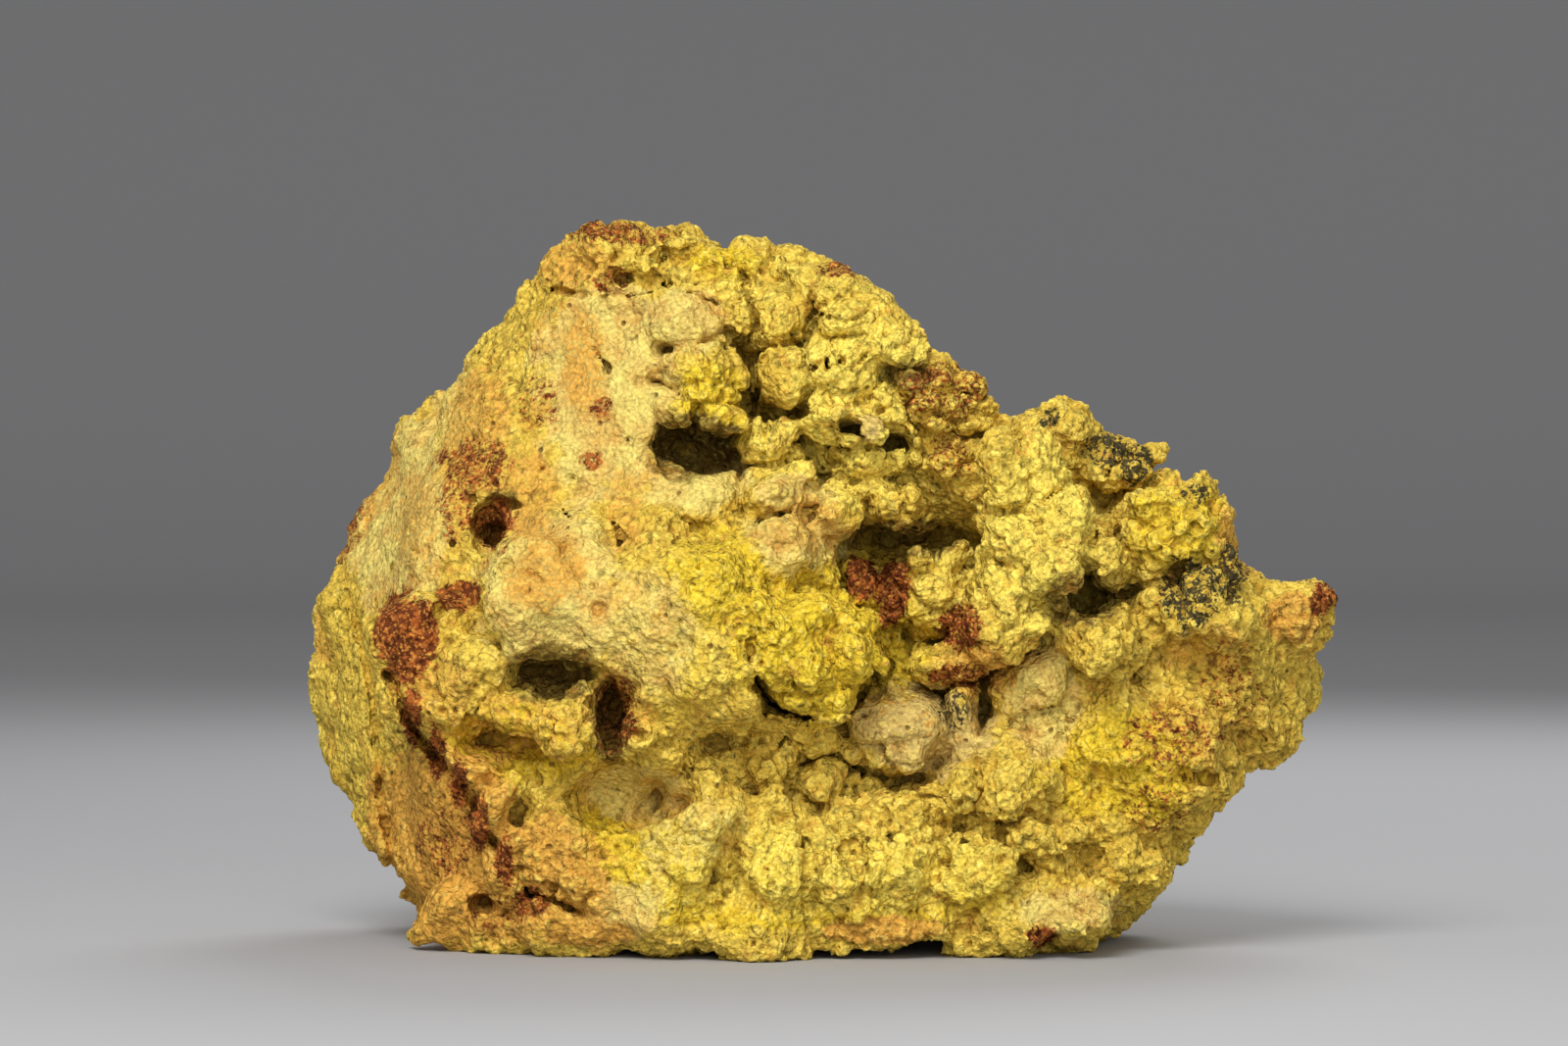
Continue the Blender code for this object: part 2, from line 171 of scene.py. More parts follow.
VUG_BUDS = (
    (-12, 60.1, 1.6, 1.4, 0.75), (-9.7, 60.7, 1.5, 1.5, 0.75), (-7.5, 59.7, 1.3, 1.5, 0.68),
    (-11, 58.1, 1.6, 1.2, 0.68), (-8.3, 57.9, 1.5, 1.2, 0.68), (-8.1, 55.1, 2.1, 1.7, 0.9),
    (-6.7, 55.9, 1.1, 1.2, 0.6), (-2.2, 59.9, 2.2, 3.4, 0.6), (1.3, 61.4, 2, 2, 0.5),
    (4.1, 62.4, 2, 1.6, 0.5), (6.2, 60.2, 1.4, 2.2, 0.5), (1, 56.9, 1.6, 1, 0.45),
    (3.3, 57.2, 1.6, 0.8, 0.38), (6, 56.6, 1.6, 1, 0.45), (8.5, 55.9, 1.6, 1.4, 0.75),
    (1, 53.7, 1.6, 1.2, 0.45), (3.7, 52.9, 1.6, 1.2, 0.68), (6.3, 53.9, 1.6, 1.3, 0.6),
    (-4.7, 54.1, 1.3, 1.6, 0.75), (-2.5, 53.9, 1.5, 1.7, 0.75), (-4.5, 50.9, 1.4, 1.6, 0.75),
    (-2.2, 50.7, 1.5, 1.6, 0.75), (0, 51.7, 1.4, 1.3, 0.68), (2.5, 51.1, 1.4, 1.2, 0.68),
    (4.7, 51.9, 1.3, 1.2, 0.68), (6.7, 51.1, 1.3, 1.5, 0.68), (-1, 49.2, 1.6, 1.2, 0.75),
    (3, 49.2, 2, 1.2, 0.75), (8.5, 50.9, 1.5, 1.6, 0.75), (10.5, 51.4, 1.3, 1.4, 0.68),
    (9.5, 48.9, 1.8, 1.2, 0.68), (6, 48.9, 1.2, 1, 0.6), (-3.5, 47.4, 2.4, 1.7, 0.83),
    (0, 46.7, 2, 1.3, 0.68), (3.5, 45.7, 2.3, 2.1, 1), (7.5, 46.4, 1.5, 1.5, 0.75),
    (9.7, 46.7, 1.4, 1.4, 0.75), (8.7, 44.9, 1.5, 1.1, 0.6), (12, 40.4, 1.8, 1.6, 0.83),
    (14.7, 41.1, 1.6, 1.4, 0.75), (16.5, 39.4, 1.6, 1.7, 0.75), (13, 37.9, 2, 1.8, 0.83),
    (15.5, 36.4, 1.8, 1.6, 0.75), (11.5, 35.9, 1.6, 1.6, 0.75), (17.5, 35.9, 1.3, 1.5, 0.6),
)
RUSTY_BUDS = (
    (8.4, 36.4, 1.5, 2.7, 2.2), (8.8, 40.4, 0.8, 1.6, 1.6), (9.8, 39.4, 0.7, 0.9, 1.2),
    (5.3, 40.1, 1.1, 1.3, 1.6), (5.7, 37.4, 1.2, 1.2, 1.6), (6.8, 39.7, 0.9, 0.8, 1.4),
    (7.6, 39.2, 0.8, 0.8, 1.3), (11, 59.4, 1.4, 1.2, 1), (13.3, 59.7, 1.5, 1.2, 1.1),
    (16, 58.9, 1.5, 1.4, 1.1), (12, 57.4, 1.5, 1.3, 1), (14.7, 57.1, 1.6, 1.3, 1), (17, 56.7, 1.1, 1.4, 1),
    (13, 55.1, 1.5, 1.2, 1), (16, 54.9, 1.5, 1.2, 1), (14, 52.9, 1.6, 1.3, 1), (16, 51.7, 1.4, 1.5, 1),
    (13.7, 50.4, 1.6, 1.5, 1), (15.7, 49.1, 1.3, 1.2, 0.9),
)
MIDDLE_BUDS = (
    (-3, 28.9, 3, 3, 1.2), (0.5, 29.9, 3, 3.5, 1.2), (4, 30.9, 2.4, 3, 1), (2.5, 26.4, 2.6, 1.8, 1),
    (-1.5, 26.1, 2.4, 1.6, 0.9), (8, 32.9, 2.2, 1.4, 1), (6.5, 34.4, 2, 1.4, 0.8),
    (-6.5, 25.1, 1.8, 1.7, 1.3), (-25.5, 23.4, 3.5, 3.5, 1.3), (-15, 20.4, 2.5, 2.2, 1.2),
    (-12, 17.9, 2, 1.2, 1), (-34.5, 28.9, 4, 3.6, 1.2), (-30.5, 25.9, 3.5, 2.6, 1.1),
    (-37.5, 25.9, 2.5, 2.4, 0.9), (-23.7, 27.6, 1.3, 0.9, 0.9), (-20.5, 15.9, 2, 1.8, 1),
    (-16.5, 15.3, 2, 1.2, 0.9), (-12.5, 15.9, 1.8, 1.5, 0.9), (-5.5, 21.9, 2.4, 2, 1),
    (-7.5, 18.9, 2.2, 2.6, 0.8),
)
LOW_BUDS = (
    (9.5, 21, 2.4, 1.8, 0.8), (15.9, 21.6, 1.6, 2, 0.8), (23.5, 27.9, 3.1, 3.6, 1.2),
    (24, 23.4, 2.6, 2.4, 0.9), (20.5, 20.9, 3, 2.6, 1.3), (1.5, 22.6, 2.4, 1.7, 2),
    (4.6, 21.6, 1.9, 1.6, 1.9), (-3, 18.2, 1.7, 2.4, 2), (-5.2, 21, 2.2, 3, 1.8),
    (-1.5, 20.6, 1.6, 1.6, 1.6), (7.4, 20.4, 1.7, 1.5, 1.4), (6, 17.6, 1.8, 1.6, 1.4),
    (2.5, 19.4, 1.5, 1.3, 1), (4.5, 18.4, 1.4, 1.5, 1), (2.3, 17.4, 1.3, 1.2, 0.9),
    (15.8, 17.1, 1.7, 2, 1.2), (18.5, 15.9, 1.4, 1.6, 1), (21.2, 16.1, 1.2, 2.2, 1.1),
    (23.7, 15.4, 1.8, 2, 1.2), (28.5, 19.9, 2.2, 3.5, 1), (-17.5, 9.9, 3.4, 2.8, 0.8),
    (-10.5, 10.4, 3, 2.4, 0.7), (-3.5, 8.9, 3.4, 2.6, 0.7), (3.5, 8.4, 3, 2.4, 0.8), (11, 9.9, 3, 2.6, 0.8),
    (18.5, 9, 2.6, 2.4, 0.8), (24, 9.5, 2.4, 2.4, 0.8), (22.5, 12, 2, 1.4, 0.7),
)
RIGHT_BUDS = (
    (32.5, 38.6, 2.6, 1.3, 1.1), (30, 35.7, 1.9, 1.4, 1.8), (19.5, 50.9, 2.4, 3, 1),
    (23.5, 52.9, 2.4, 2.4, 1), (26.5, 49.9, 2, 3, 0.9), (22.5, 46.9, 2.8, 2.4, 1), (26.5, 43.9, 2.6, 3, 1),
    (21.5, 41.9, 2.6, 2.6, 1), (25.5, 38.9, 2.4, 2.4, 1), (20.5, 36.9, 2.8, 2.8, 1),
    (17.5, 33.9, 1.8, 2, 0.9), (22.5, 33.4, 2.2, 1.8, 0.9), (28.5, 47.9, 1.4, 2, 0.8),
    (35.5, 45.9, 2.6, 2.4, 1), (39.5, 46.9, 2.4, 2.2, 1), (42.5, 44.9, 2.4, 2.6, 1),
    (37.5, 41.9, 2.6, 2, 1), (34, 43.4, 1.6, 2.2, 1), (41.5, 41.4, 2, 1.6, 0.9), (30, 51.9, 1.6, 1.3, 1),
    (33.3, 49.9, 1.4, 1.8, 1), (34.5, 51.4, 2, 1.2, 0.9), (36.5, 48.9, 1.6, 1.5, 0.9),
)

# Pits: (seen x, seen z, half width, half height, depth).
PITS = (
    (-28.2, 55.2, 0.9, 0.6, 1.6), (-27.6, 50.7, 0.4, 0.4, 1), (-16.3, 44.7, 0.7, 0.6, 1.2),
    (-13.5, 44.4, 0.5, 0.4, 1), (-30.8, 47, 2, 0.8, 3), (-31.8, 43.5, 2.2, 2.3, 4), (-31.2, 40, 0.8, 1, 2),
    (-34.5, 47.3, 0.4, 0.4, 1), (-24.9, 49.3, 0.4, 0.3, 1), (-36.5, 43.1, 0.5, 0.4, 1),
    (-42, 42.5, 0.4, 0.4, 1), (-43.2, 40, 0.4, 0.4, 1), (-38.6, 35.4, 0.5, 1.1, 2),
    (-33.5, 33.9, 0.5, 0.5, 1.2), (-21.3, 35, 0.7, 0.6, 1.6), (-17, 22.2, 0.7, 0.6, 2),
    (-11.3, 40.2, 0.35, 0.9, 1.4), (-38.8, 21.8, 0.5, 0.5, 1.2), (-37.5, 16.7, 0.6, 0.7, 1.2),
    (-35.8, 11.1, 0.7, 0.6, 1.4), (-33.7, 11.4, 0.5, 0.5, 1.2), (-28.5, 8.9, 0.6, 0.6, 1.4),
    (-33, 6.2, 1.7, 1.5, 3), (-24.5, 4.9, 0.6, 0.9, 1.6), (-15.3, 6.1, 0.5, 0.6, 1.2),
    (-10.8, 10.3, 0.45, 0.8, 1.6), (-9.2, 8.2, 0.6, 0.9, 1.6), (-13.2, 18.8, 0.45, 0.9, 1.4),
    (-12.5, 18.1, 0.4, 0.8, 1.4), (20.3, 49.7, 0.5, 0.4, 1), (23, 47.9, 0.4, 0.4, 1),
    (25.5, 44.9, 0.4, 0.4, 1), (40.5, 43.9, 0.7, 0.6, 1.4), (38.7, 40.2, 0.8, 1, 2),
    (39.8, 18.6, 1.2, 1.1, 3.2), (37, 14.7, 0.5, 0.5, 1), (49.7, 26.7, 0.5, 0.5, 1),
    (49, 23.9, 0.5, 0.5, 1), (49.4, 28.4, 0.4, 0.4, 1), (28, 28.1, 0.6, 0.6, 1.6),
    (15.9, 11.8, 0.6, 2, 2.4), (8.4, 12, 0.9, 1.4, 2.6), (4, 11.2, 0.7, 0.7, 1.4), (20, 7.9, 1.2, 0.5, 1.6),
    (0.2, 39.4, 0.5, 0.5, 1), (-0.7, 44, 0.8, 0.6, 1), (3.9, 54.4, 1.3, 0.6, 3), (30.4, 7.2, 3.2, 1.2, 3),
    (-18.7, 69.5, 1.4, 1, 1.8), (-13, 72, 2.4, 1.2, 1.4), (36, 37.6, 1.8, 0.8, 3),
)

# Cracks: (width, depth, path of seen places).
CRACKS = (
    (0.45, 1.1, ((-6.5, 68.6), (-5.3, 64.6), (-4, 63.1), (-0.5, 64.1), (0.5, 66.1), (0.3, 68.1))),
    (0.4, 0.9, ((0.5, 66.1), (3.7, 64.9), (5.5, 65.6), (7, 67.1))),
    (0.4, 0.9, ((7.6, 63.6), (8.5, 65.2), (9.6, 64.6))),
    (0.7, 3, ((-4.5, 61.7), (-4.7, 59.4), (-5.5, 57.4), (-5.7, 55.5))),
    (0.4, 1.2, ((-0.3, 61.7), (0.5, 60.1), (1.3, 60.9))), (0.4, 1.2, ((2, 62.4), (1.8, 60.1), (3.5, 61.1))),
    (0.45, 1.2, ((-4.5, 55.4), (-4.4, 51), (-4.6, 49.5))), (0.4, 1, ((-6, 52.9), (-1.2, 52.7))),
    (0.4, 1, ((-6, 50.9), (-1.4, 51.1))),
    (0.4, 1.1, ((-5.5, 47.4), (-2.5, 46.4), (1.5, 46.1), (3.5, 44.6))),
    (0.4, 0.9, ((-5, 44.6), (-3, 43.3))), (1.2, 0.7, ((-6.4, 38.4), (-5.6, 34.6), (-6.1, 30.5))),
    (0.9, 3.4, ((-6.1, 30.5), (-5.2, 28), (-3.8, 25.9))),
    (0.9, 3, ((-3.8, 25.9), (-0.5, 24.6), (4.5, 25.2), (6.7, 28.8))),
    (1.2, 1.2, ((-48.5, 43), (-46, 34), (-44.2, 26), (-43.6, 17), (-42.4, 9))),
    (0.4, 1, ((-5.7, 35.6), (-6, 33.1))), (0.5, 1.4, ((3.5, 33.9), (6, 33.2), (9.5, 32.9))),
    (1.4, 1.5, (
        (-43, 29), (-41, 24.5), (-38, 20.6), (-35.4, 18), (-33, 14), (-31.4, 10), (-28.6, 7), (-23, 4.6),
    )),
    (0.4, 1, ((-2, 11.4), (2, 11.9))), (0.4, 1, ((6, 9.1), (8, 9.4), (10.5, 9.1))),
    (0.4, 0.8, ((-26, 38.9), (-24.2, 38.4))), (0.4, 0.8, ((-28.5, 39.4), (-26.5, 38.1), (-26, 36))),
    (0.4, 0.8, ((-22, 62.3), (-20.4, 60.4), (-20.2, 58.9))),
    (0.5, 1.4, ((31, 45.4), (31.6, 43.4), (32.2, 42.4))),
    (0.5, 1.4, ((31.5, 30), (32.8, 29.2), (33.5, 28.5))),
    (0.4, 0.7, ((-26.5, 47.5), (-24, 44.5), (-25.5, 41), (-22, 38))),
    (0.4, 0.7, ((-21.5, 47), (-19, 43), (-20, 40))), (0.4, 0.7, ((-17.5, 61), (-17, 57), (-18.5, 53))),
    (0.6, 1.4, ((-26, 68.2), (-20, 67.4), (-14, 68))),
)

# Relief as (size, height) of each layer of lumps, and the share of the warp that the smaller shapes take.
WARP = ((7.0, 1.0), (3.0, 0.45), (1.6, 0.2))
SMALL_WARP = 0.45
BROAD_RELIEF = ((11.0, 1.0), (6.0, 0.5))
FINE_RELIEF = ((3.2, 0.34), (1.7, 0.26), (0.95, 0.13))
# The share of a lattice's random spread that B-splines leave.
SPLINE_SPREAD = 0.34
# Where the fine relief is lower: (x, z, half width, half height).
CALM = (
    (2, 66.5, 9, 4.5), (-37, 12, 6, 11), (-24, 52, 9, 15), (-42, 44, 9, 16), (-49, 25, 6, 9),
    (1, 56, 11, 9), (13, 38, 5, 5), (10, 22, 12, 5), (-17.5, 17, 6, 3),
)
# How much lower the broad and fine parts of it are there, and the depth and length that this fades over.
CALM_SHARE = 0.7
CALM_FINE_SHARE = 0.85
CALM_DEPTH = 8
CALM_FADE = 3
# How softly each kind of shape joins the field, and how far round itself it is worked out.
HULL_EASE = 1.3
VUG_EASE = 1.1
MASS_EASE = 1.9
GROWTH_EASE = 0.9
BUD_EASE = 0.45
HOLE_EASE = 0.7
PIT_EASE = 0.3
MARGIN = 3
WIDE_MARGIN = 4
# The crack where two growths meet, and how far from the surface it fades.
CRACK_WIDTH = 0.35
CRACK_DEPTH = 0.8
CRACK_FADE = 1.5
# The middle and reach of the depths that cracks along a path are cut through.
FRONT_DEPTH = -12
FRONT_REACH = 26
# A distance beyond any that is used.
FAR = 9.0
# How deep the closed ends of the pieces are sunk, and the fine relief that leaves a point where it is.
CAP_DEPTH = 0.7
RELIEF_LEVEL = 0.15

PIECES = (
    "crust_far_left", "crust_left", "crust_middle_left",
    "crust_middle_right", "crust_right", "crust_far_right",
)

# Seen patches of each finish: (x, z, half width, half height, amount). They fade between two shares of
# the way from their middle to their edge.
PATCH_FADE = (1.35, 0.65)
TAN = (
    (-42, 46, 6, 11, 0.7), (-36, 56, 3, 6, 0.5), (-20.5, 57.9, 7, 11, 0.9), (-26.5, 37.9, 7, 9, 0.8),
    (-12.5, 64.9, 4.5, 3.5, 0.7), (-11, 48.9, 5.5, 3.2, 0.9), (-1, 42.9, 6, 3.6, 0.6),
    (-2, 47.4, 4.5, 2, 0.6), (23.7, 26.4, 3.6, 5.5, 0.9), (-12.5, 12.9, 6, 4, 0.4),
    (-17.5, 17, 5.5, 2.6, 0.9), (26.5, 4.9, 6, 2.5, 0.6), (-20, 5, 5, 3.5, 0.6), (-16, 33, 5, 7, 0.5),
)
ORANGE = (
    (-23, 61, 2.5, 5, 0.5), (-29, 47, 4, 5, 0.5), (-27, 39.5, 4, 4, 0.5), (-19, 46, 2, 5, 0.4),
    (-33, 56, 3, 5, 0.5), (-24, 71, 4, 3, 0.5), (-40, 45, 3, 5, 0.35), (-19.5, 26, 4, 4, 0.4),
    (-25.5, 23, 3, 3, 0.4), (0, 44.5, 4, 3, 0.35), (-37.5, 11.9, 8, 10, 0.9), (-30, 8, 10, 7, 0.7),
    (7.5, 2.9, 6, 1.4, 0.8), (-23, 2.5, 5, 1.5, 0.7), (40.5, 31.9, 5, 3, 0.35), (38, 23, 6, 4, 0.35),
    (49.5, 34.9, 3, 3, 0.7), (44, 43, 2.5, 4, 0.5), (17.5, 29.5, 4, 3, 0.6), (44, 20, 9, 9, 0.22),
    (-35, 50, 3, 6, 0.5), (-30, 24, 6, 3, 0.4), (-38, 27, 4, 6, 0.4),
)
RUST = (
    (-40.5, 25, 1, 3, 0.8), (-38, 21, 1, 3, 0.8), (-35.7, 17.5, 1, 2.6, 0.85), (-33.7, 13.5, 1, 3.2, 0.85),
    (-31, 9.5, 1, 2.6, 0.8), (-28.5, 6, 1.8, 1.4, 0.75), (37, 22.5, 6, 3.4, 0.28), (43, 28, 4, 5, 0.26),
    (36, 15.5, 5, 3, 0.26), (-34, 50.4, 3.4, 2.8, 0.55), (-36, 46, 2, 4, 0.4), (-27.5, 57, 2.5, 3, 0.3),
    (-41, 32.9, 3.2, 4.5, 1), (-35.5, 37.1, 2.5, 1.6, 0.8), (-18.5, 74.4, 6, 1.5, 0.6),
    (3.5, 70.4, 3, 1, 0.5), (5.4, 38.9, 1.6, 2.7, 1), (8.6, 38, 1.7, 4.2, 1), (14, 57.9, 4.5, 3.4, 0.4),
    (14.5, 51.4, 2.5, 2.5, 0.3), (15.7, 33.6, 2.2, 2.5, 0.8), (15.5, 28.9, 3.5, 1.2, 0.6),
    (52.5, 36.7, 1.5, 1.5, 0.9), (-37.5, 51.4, 1, 1, 0.6), (-32, 44.4, 2, 2.5, 0.8),
    (-19.7, 25.4, 2.2, 4, 0.5), (-21, 55.9, 1.2, 1.2, 0.5), (-22, 50.9, 1.5, 1, 0.5),
    (-20, 69.4, 2, 1.4, 0.5), (23.7, 2.4, 1.4, 1.4, 0.8), (-37, 12, 3, 4, 0.32), (-32, 5, 4, 2, 0.32),
)
PALE = (
    (23.5, 41.9, 6, 10, 0.8), (5.5, 59.9, 8, 6, 0.6), (2.5, 51.9, 9, 5.5, 0.8), (14.5, 37.9, 4.5, 4.5, 0.5),
    (-1, 67, 11, 5, 0.35), (2, 9, 20, 5, 0.5),
)
SULPHUR = (
    (2.5, 33, 9, 8, 1), (-8, 38.9, 7, 5, 0.7), (-14, 30, 4, 6, 0.35), (-16, 56, 1.6, 6, 0.6),
    (-13.5, 66, 1.5, 2, 0.5), (-10.5, 58, 4, 3, 0.8), (-8.5, 54, 3, 2, 0.7), (-30.5, 21.9, 8, 4, 0.7),
    (-18.5, 13.9, 5, 4, 0.8), (-2.5, 7.9, 25, 5, 0.7), (32.5, 19.9, 8, 6, 0.7), (38.5, 43.9, 6, 5, 0.5),
    (-8.5, 70.9, 4, 2, 0.7),
)
GREY = (
    (30.5, 51.9, 2.2, 1.8, 0.56), (33.3, 50.4, 1.6, 2.2, 0.6), (39, 37.4, 3, 3.6, 0.52),
    (43, 39.4, 1.6, 3, 0.55), (24.7, 55.4, 1, 1, 0.5), (15, 25.7, 1.8, 2.4, 0.3), (39.5, 47.5, 1.5, 1, 0.5),
)
ASHEN = ((11.5, 23.4, 7, 4.5, 0.8), (6.2, 54.2, 1.6, 1.4, 0.6))
# Finishes of the back, each in the highs (1) or lows (-1) of a drift: (name, sign, size, start, amount).
BACK_FINISHES = (
    ("tan", 1, 16, 0.1, 0.8), ("orange", 1, 11, 0.15, 0.7), ("sulphur", -1, 16, 0.1, 0.8),
    ("pale", -1, 11, 0.1, 0.8), ("rust", 1, 7, 0.38, 0.6), ("lumpy", -1, 7, -0.1, 0.7),
    ("moss", -1, 7, 0.4, 0.4),
)
LUMPY = (
    (3, 17, 12, 7, 0.9), (20, 14, 14, 9, 0.9), (34, 22, 9, 9, 0.6), (-8, 10, 14, 5, 0.6),
    (37, 40, 9, 8, 0.9), (22, 46, 8, 10, 0.6), (-30, 27, 9, 6, 0.5),
)
MOSS = (
    (-26, 29.1, 4, 3, 0.9), (9.5, 42.9, 6, 1.8, 0.9), (10.5, 59.4, 2.5, 1.5, 0.7), (-12, 52.4, 5, 3.5, 0.8),
    (-31.5, 46.9, 2.2, 1.2, 0.5), (28, 36.5, 4, 3, 0.6), (-20, 24, 2, 4, 0.6),
)


class Block:
    """A box of points, held as their places along x, y and z, `step` apart."""

    def __init__(self, axes, step):
        self.axes = axes
        self.step = step
        self.shape = tuple(len(axis) for axis in axes)
        self.low = np.array([axis[0] for axis in axes], np.float32)

    def thinned(self, every):
        """The block of one in `every` of the points along each axis."""
        return Block([axis[::every] for axis in self.axes], self.step * every)

    def part(self, middle, reach):
        """The slices that hold the points within `reach` of a middle."""
        pairs = zip(self.axes, middle, reach)
        return tuple(slice(*np.searchsorted(axis, (at - far, at + far))) for axis, at, far in pairs)

    def open_axes(self, cut=(slice(None),) * 3):
        """The coordinates of a part, shaped so that they spread over each other."""
        return np.ix_(*(axis[piece] for axis, piece in zip(self.axes, cut)))


def filled_block(low, high, step):
    """The block of points from one corner to the other."""
    return Block([np.arange(a, b + step, step, dtype=np.float32) for a, b in zip(low, high)], step)


def spread(lattice, block, size):
    """A lattice, `size` apart from one step before the block, read all over the block by cubic B-splines.

    Along each axis in turn a point is the sum of its four nearest lattice sheets, each times its weight.
    """
    for number in (2, 1, 0):
        place = (block.axes[number] - block.axes[number][0]) / size
        first = np.floor(place).astype(int)
        t = (place - first).reshape([-1 if a == number else 1 for a in range(3)]).astype(np.float32)
        weights = ((1 - t)**3, 3*t**3 - 6*t**2 + 4, -3*t**3 + 3*t**2 + 3*t + 1, t**3)
        lattice = sum(np.take(lattice, first + shift, number) * (w / 6) for shift, w in enumerate(weights))
    return lattice


def lumps(block, layers, seed):
    """Smooth relief: the sum of seeded lattices of random heights, each read by B-splines."""
    total = np.zeros(block.shape, np.float32)
    for number, (size, height) in enumerate(layers):
        shape = [int((high - low + 1) / size) + 4 for low, high in zip(LOW, HIGH)]
        heights = np.random.default_rng(seed + number).normal(0, height / SPLINE_SPREAD, shape)
        total += spread(heights.astype(np.float32), block, size)
    return total


def hull_planes(corners):
    """The outward normal and distance from the origin of each face of the corners' convex hull."""
    shell = bmesh.new()
    for corner in corners:
        shell.verts.new(corner)
    bmesh.ops.convex_hull(shell, input=shell.verts)
    middle = sum((Vector(c) for c in corners), Vector()) / len(corners)
    planes = []
    for face in shell.faces:
        face.normal_update()
        normal = face.normal if face.normal.dot(face.verts[0].co - middle) > 0 else -face.normal
        planes.append((*normal, normal.dot(face.verts[0].co)))
    shell.free()
    return planes


def hull_distance(block, corners):
    """Distance outside a convex hull: the soft maximum of the distances outside its faces."""
    low = [axis[0] - COARSE_STEP for axis in block.axes]
    high = [axis[-1] + 3 * COARSE_STEP for axis in block.axes]
    coarse = filled_block(low, high, COARSE_STEP)
    x, y, z = coarse.open_axes()
    total = np.zeros(coarse.shape, np.float32)
    for a, b, c, d in hull_planes(corners):
        total += np.exp((a * x + b * y + c * z - d) / HULL_EASE)
    field = HULL_EASE * np.log(total)
    counts = [int((axis[-1] - axis[0]) / COARSE_STEP) + 4 for axis in block.axes]
    field = field[:counts[0], :counts[1], :counts[2]]
    return spread(np.ascontiguousarray(field), block, COARSE_STEP)


def round_distance(block, cut, warp, row):
    """Distance outside an ellipsoid: k(k - 1) / g, where k is the length of p / r and g that of p / r^2."""
    total = slope = 0
    for axis, shift, middle, radius in zip(block.open_axes(cut), warp, row[:3], row[3:]):
        scaled = (axis + shift[cut] - middle) / radius
        total = total + scaled**2
        slope = slope + (scaled / radius)**2
    k = np.sqrt(total)
    return k * (k - 1) / np.sqrt(slope + 1e-9)


def round_shapes(block, warp, rows, margin):
    """For each row, the part of the block round its ellipsoid, and the distance outside it there."""
    for row in rows:
        cut = block.part(row[:3], [radius + margin for radius in row[3:]])
        yield cut, round_distance(block, cut, warp, row)


def soft_min(a, b, ease):
    """The smaller of two distances, rounded where they are within `ease` of each other."""
    near = np.maximum(ease - np.abs(a - b), 0) / ease
    return np.minimum(a, b) - near**2 * ease / 4


def add_growths(field, block, warp, rows, ease):
    """Rounded growths joined to the field, with a crack where two growths meet.

    `near` and `next_near` are the distances outside the nearest and second nearest growth. The crack is a
    bell of their difference, and fades away from the surface.
    """
    near = np.full(block.shape, FAR, np.float32)
    next_near = near.copy()
    for cut, distance in round_shapes(block, warp, rows, MARGIN):
        next_near[cut] = np.minimum(next_near[cut], np.maximum(near[cut], distance))
        near[cut] = np.minimum(near[cut], distance)
    joined = soft_min(field, near, ease)
    crack = np.exp(-((next_near - near) / CRACK_WIDTH)**2 - (near / CRACK_FADE)**2)
    return joined + CRACK_DEPTH * crack


def add_masses(field, block, warp, rows, ease):
    """Rounded masses joined softly to the field, one after another."""
    for cut, distance in round_shapes(block, warp, rows, WIDE_MARGIN):
        field[cut] = soft_min(field[cut], distance, ease)


def carve(field, block, warp, rows, ease):
    """Round spaces taken out of the field."""
    for cut, distance in round_shapes(block, warp, rows, MARGIN):
        field[cut] = -soft_min(-field[cut], distance, ease)


def front_depths(field, block):
    """The depth of the first rock behind each (x, z), looked at from the front."""
    inside = field < 0
    return np.where(inside.any(1), block.axes[1][inside.argmax(1)], 0)


def on_front(depths, block, x, z, behind):
    """The place on the front, or `behind` it, that is seen at (x, z).

    The sight line meets a guessed depth, and the rock's own depth there is the next guess, three times.
    """
    y = -20.0
    for _ in range(3):
        scale = (y - EYE[1]) / SEEN_DISTANCE
        place_x, place_z = EYE[0] + (x - EYE[0]) * scale, EYE[2] + (z - EYE[2]) * scale
        column = round((place_x - block.low[0]) / block.step), round((place_z - block.low[2]) / block.step)
        y = float(np.median(depths[column[0] - 1:column[0] + 2, column[1] - 1:column[1] + 2]))
    return place_x, y + behind, place_z


def path_distance(x, z, path):
    """The distance from a path: the least of the distances from the nearest point of each straight run."""
    nearest = FAR
    for (x0, z0), (x1, z1) in zip(path, path[1:]):
        run_x, run_z = x1 - x0, z1 - z0
        along = np.clip(((x - x0) * run_x + (z - z0) * run_z) / (run_x**2 + run_z**2), 0, 1)
        nearest = np.minimum(nearest, np.hypot(x - x0 - along * run_x, z - z0 - along * run_z))
    return nearest


def score(field, block, width, depth, path):
    """A crack along a seen path: a groove with straight sides that meet at its depth."""
    xs, zs = zip(*path)
    middle = ((min(xs) + max(xs)) / 2, FRONT_DEPTH, (min(zs) + max(zs)) / 2)
    half_width, half_height = (max(xs) - min(xs)) / 2, (max(zs) - min(zs)) / 2
    cut = block.part(middle, (half_width + WIDE_MARGIN, FRONT_REACH, half_height + WIDE_MARGIN))
    x, y, z = block.open_axes(cut)
    scale = SEEN_DISTANCE / (y - EYE[1])
    distance = path_distance((x - EYE[0]) * scale + EYE[0], (z - EYE[2]) * scale + EYE[2], path)
    groove = width / 2 - distance + field[cut] * width / (2 * depth)
    field[cut] = np.maximum(field[cut], groove)


def bud_rows(depths, block):
    """Each bud as an ellipsoid, as deep as the mean of its width and height, sunk to leave its rise."""
    rows = []
    for x, z, wide, high, rise in TOP_BUDS + VUG_BUDS + RUSTY_BUDS + MIDDLE_BUDS + LOW_BUDS + RIGHT_BUDS:
        deep = 0.5 * (wide + high)
        rows.append((*on_front(depths, block, x, z, deep - rise), wide, deep, high))
    return rows


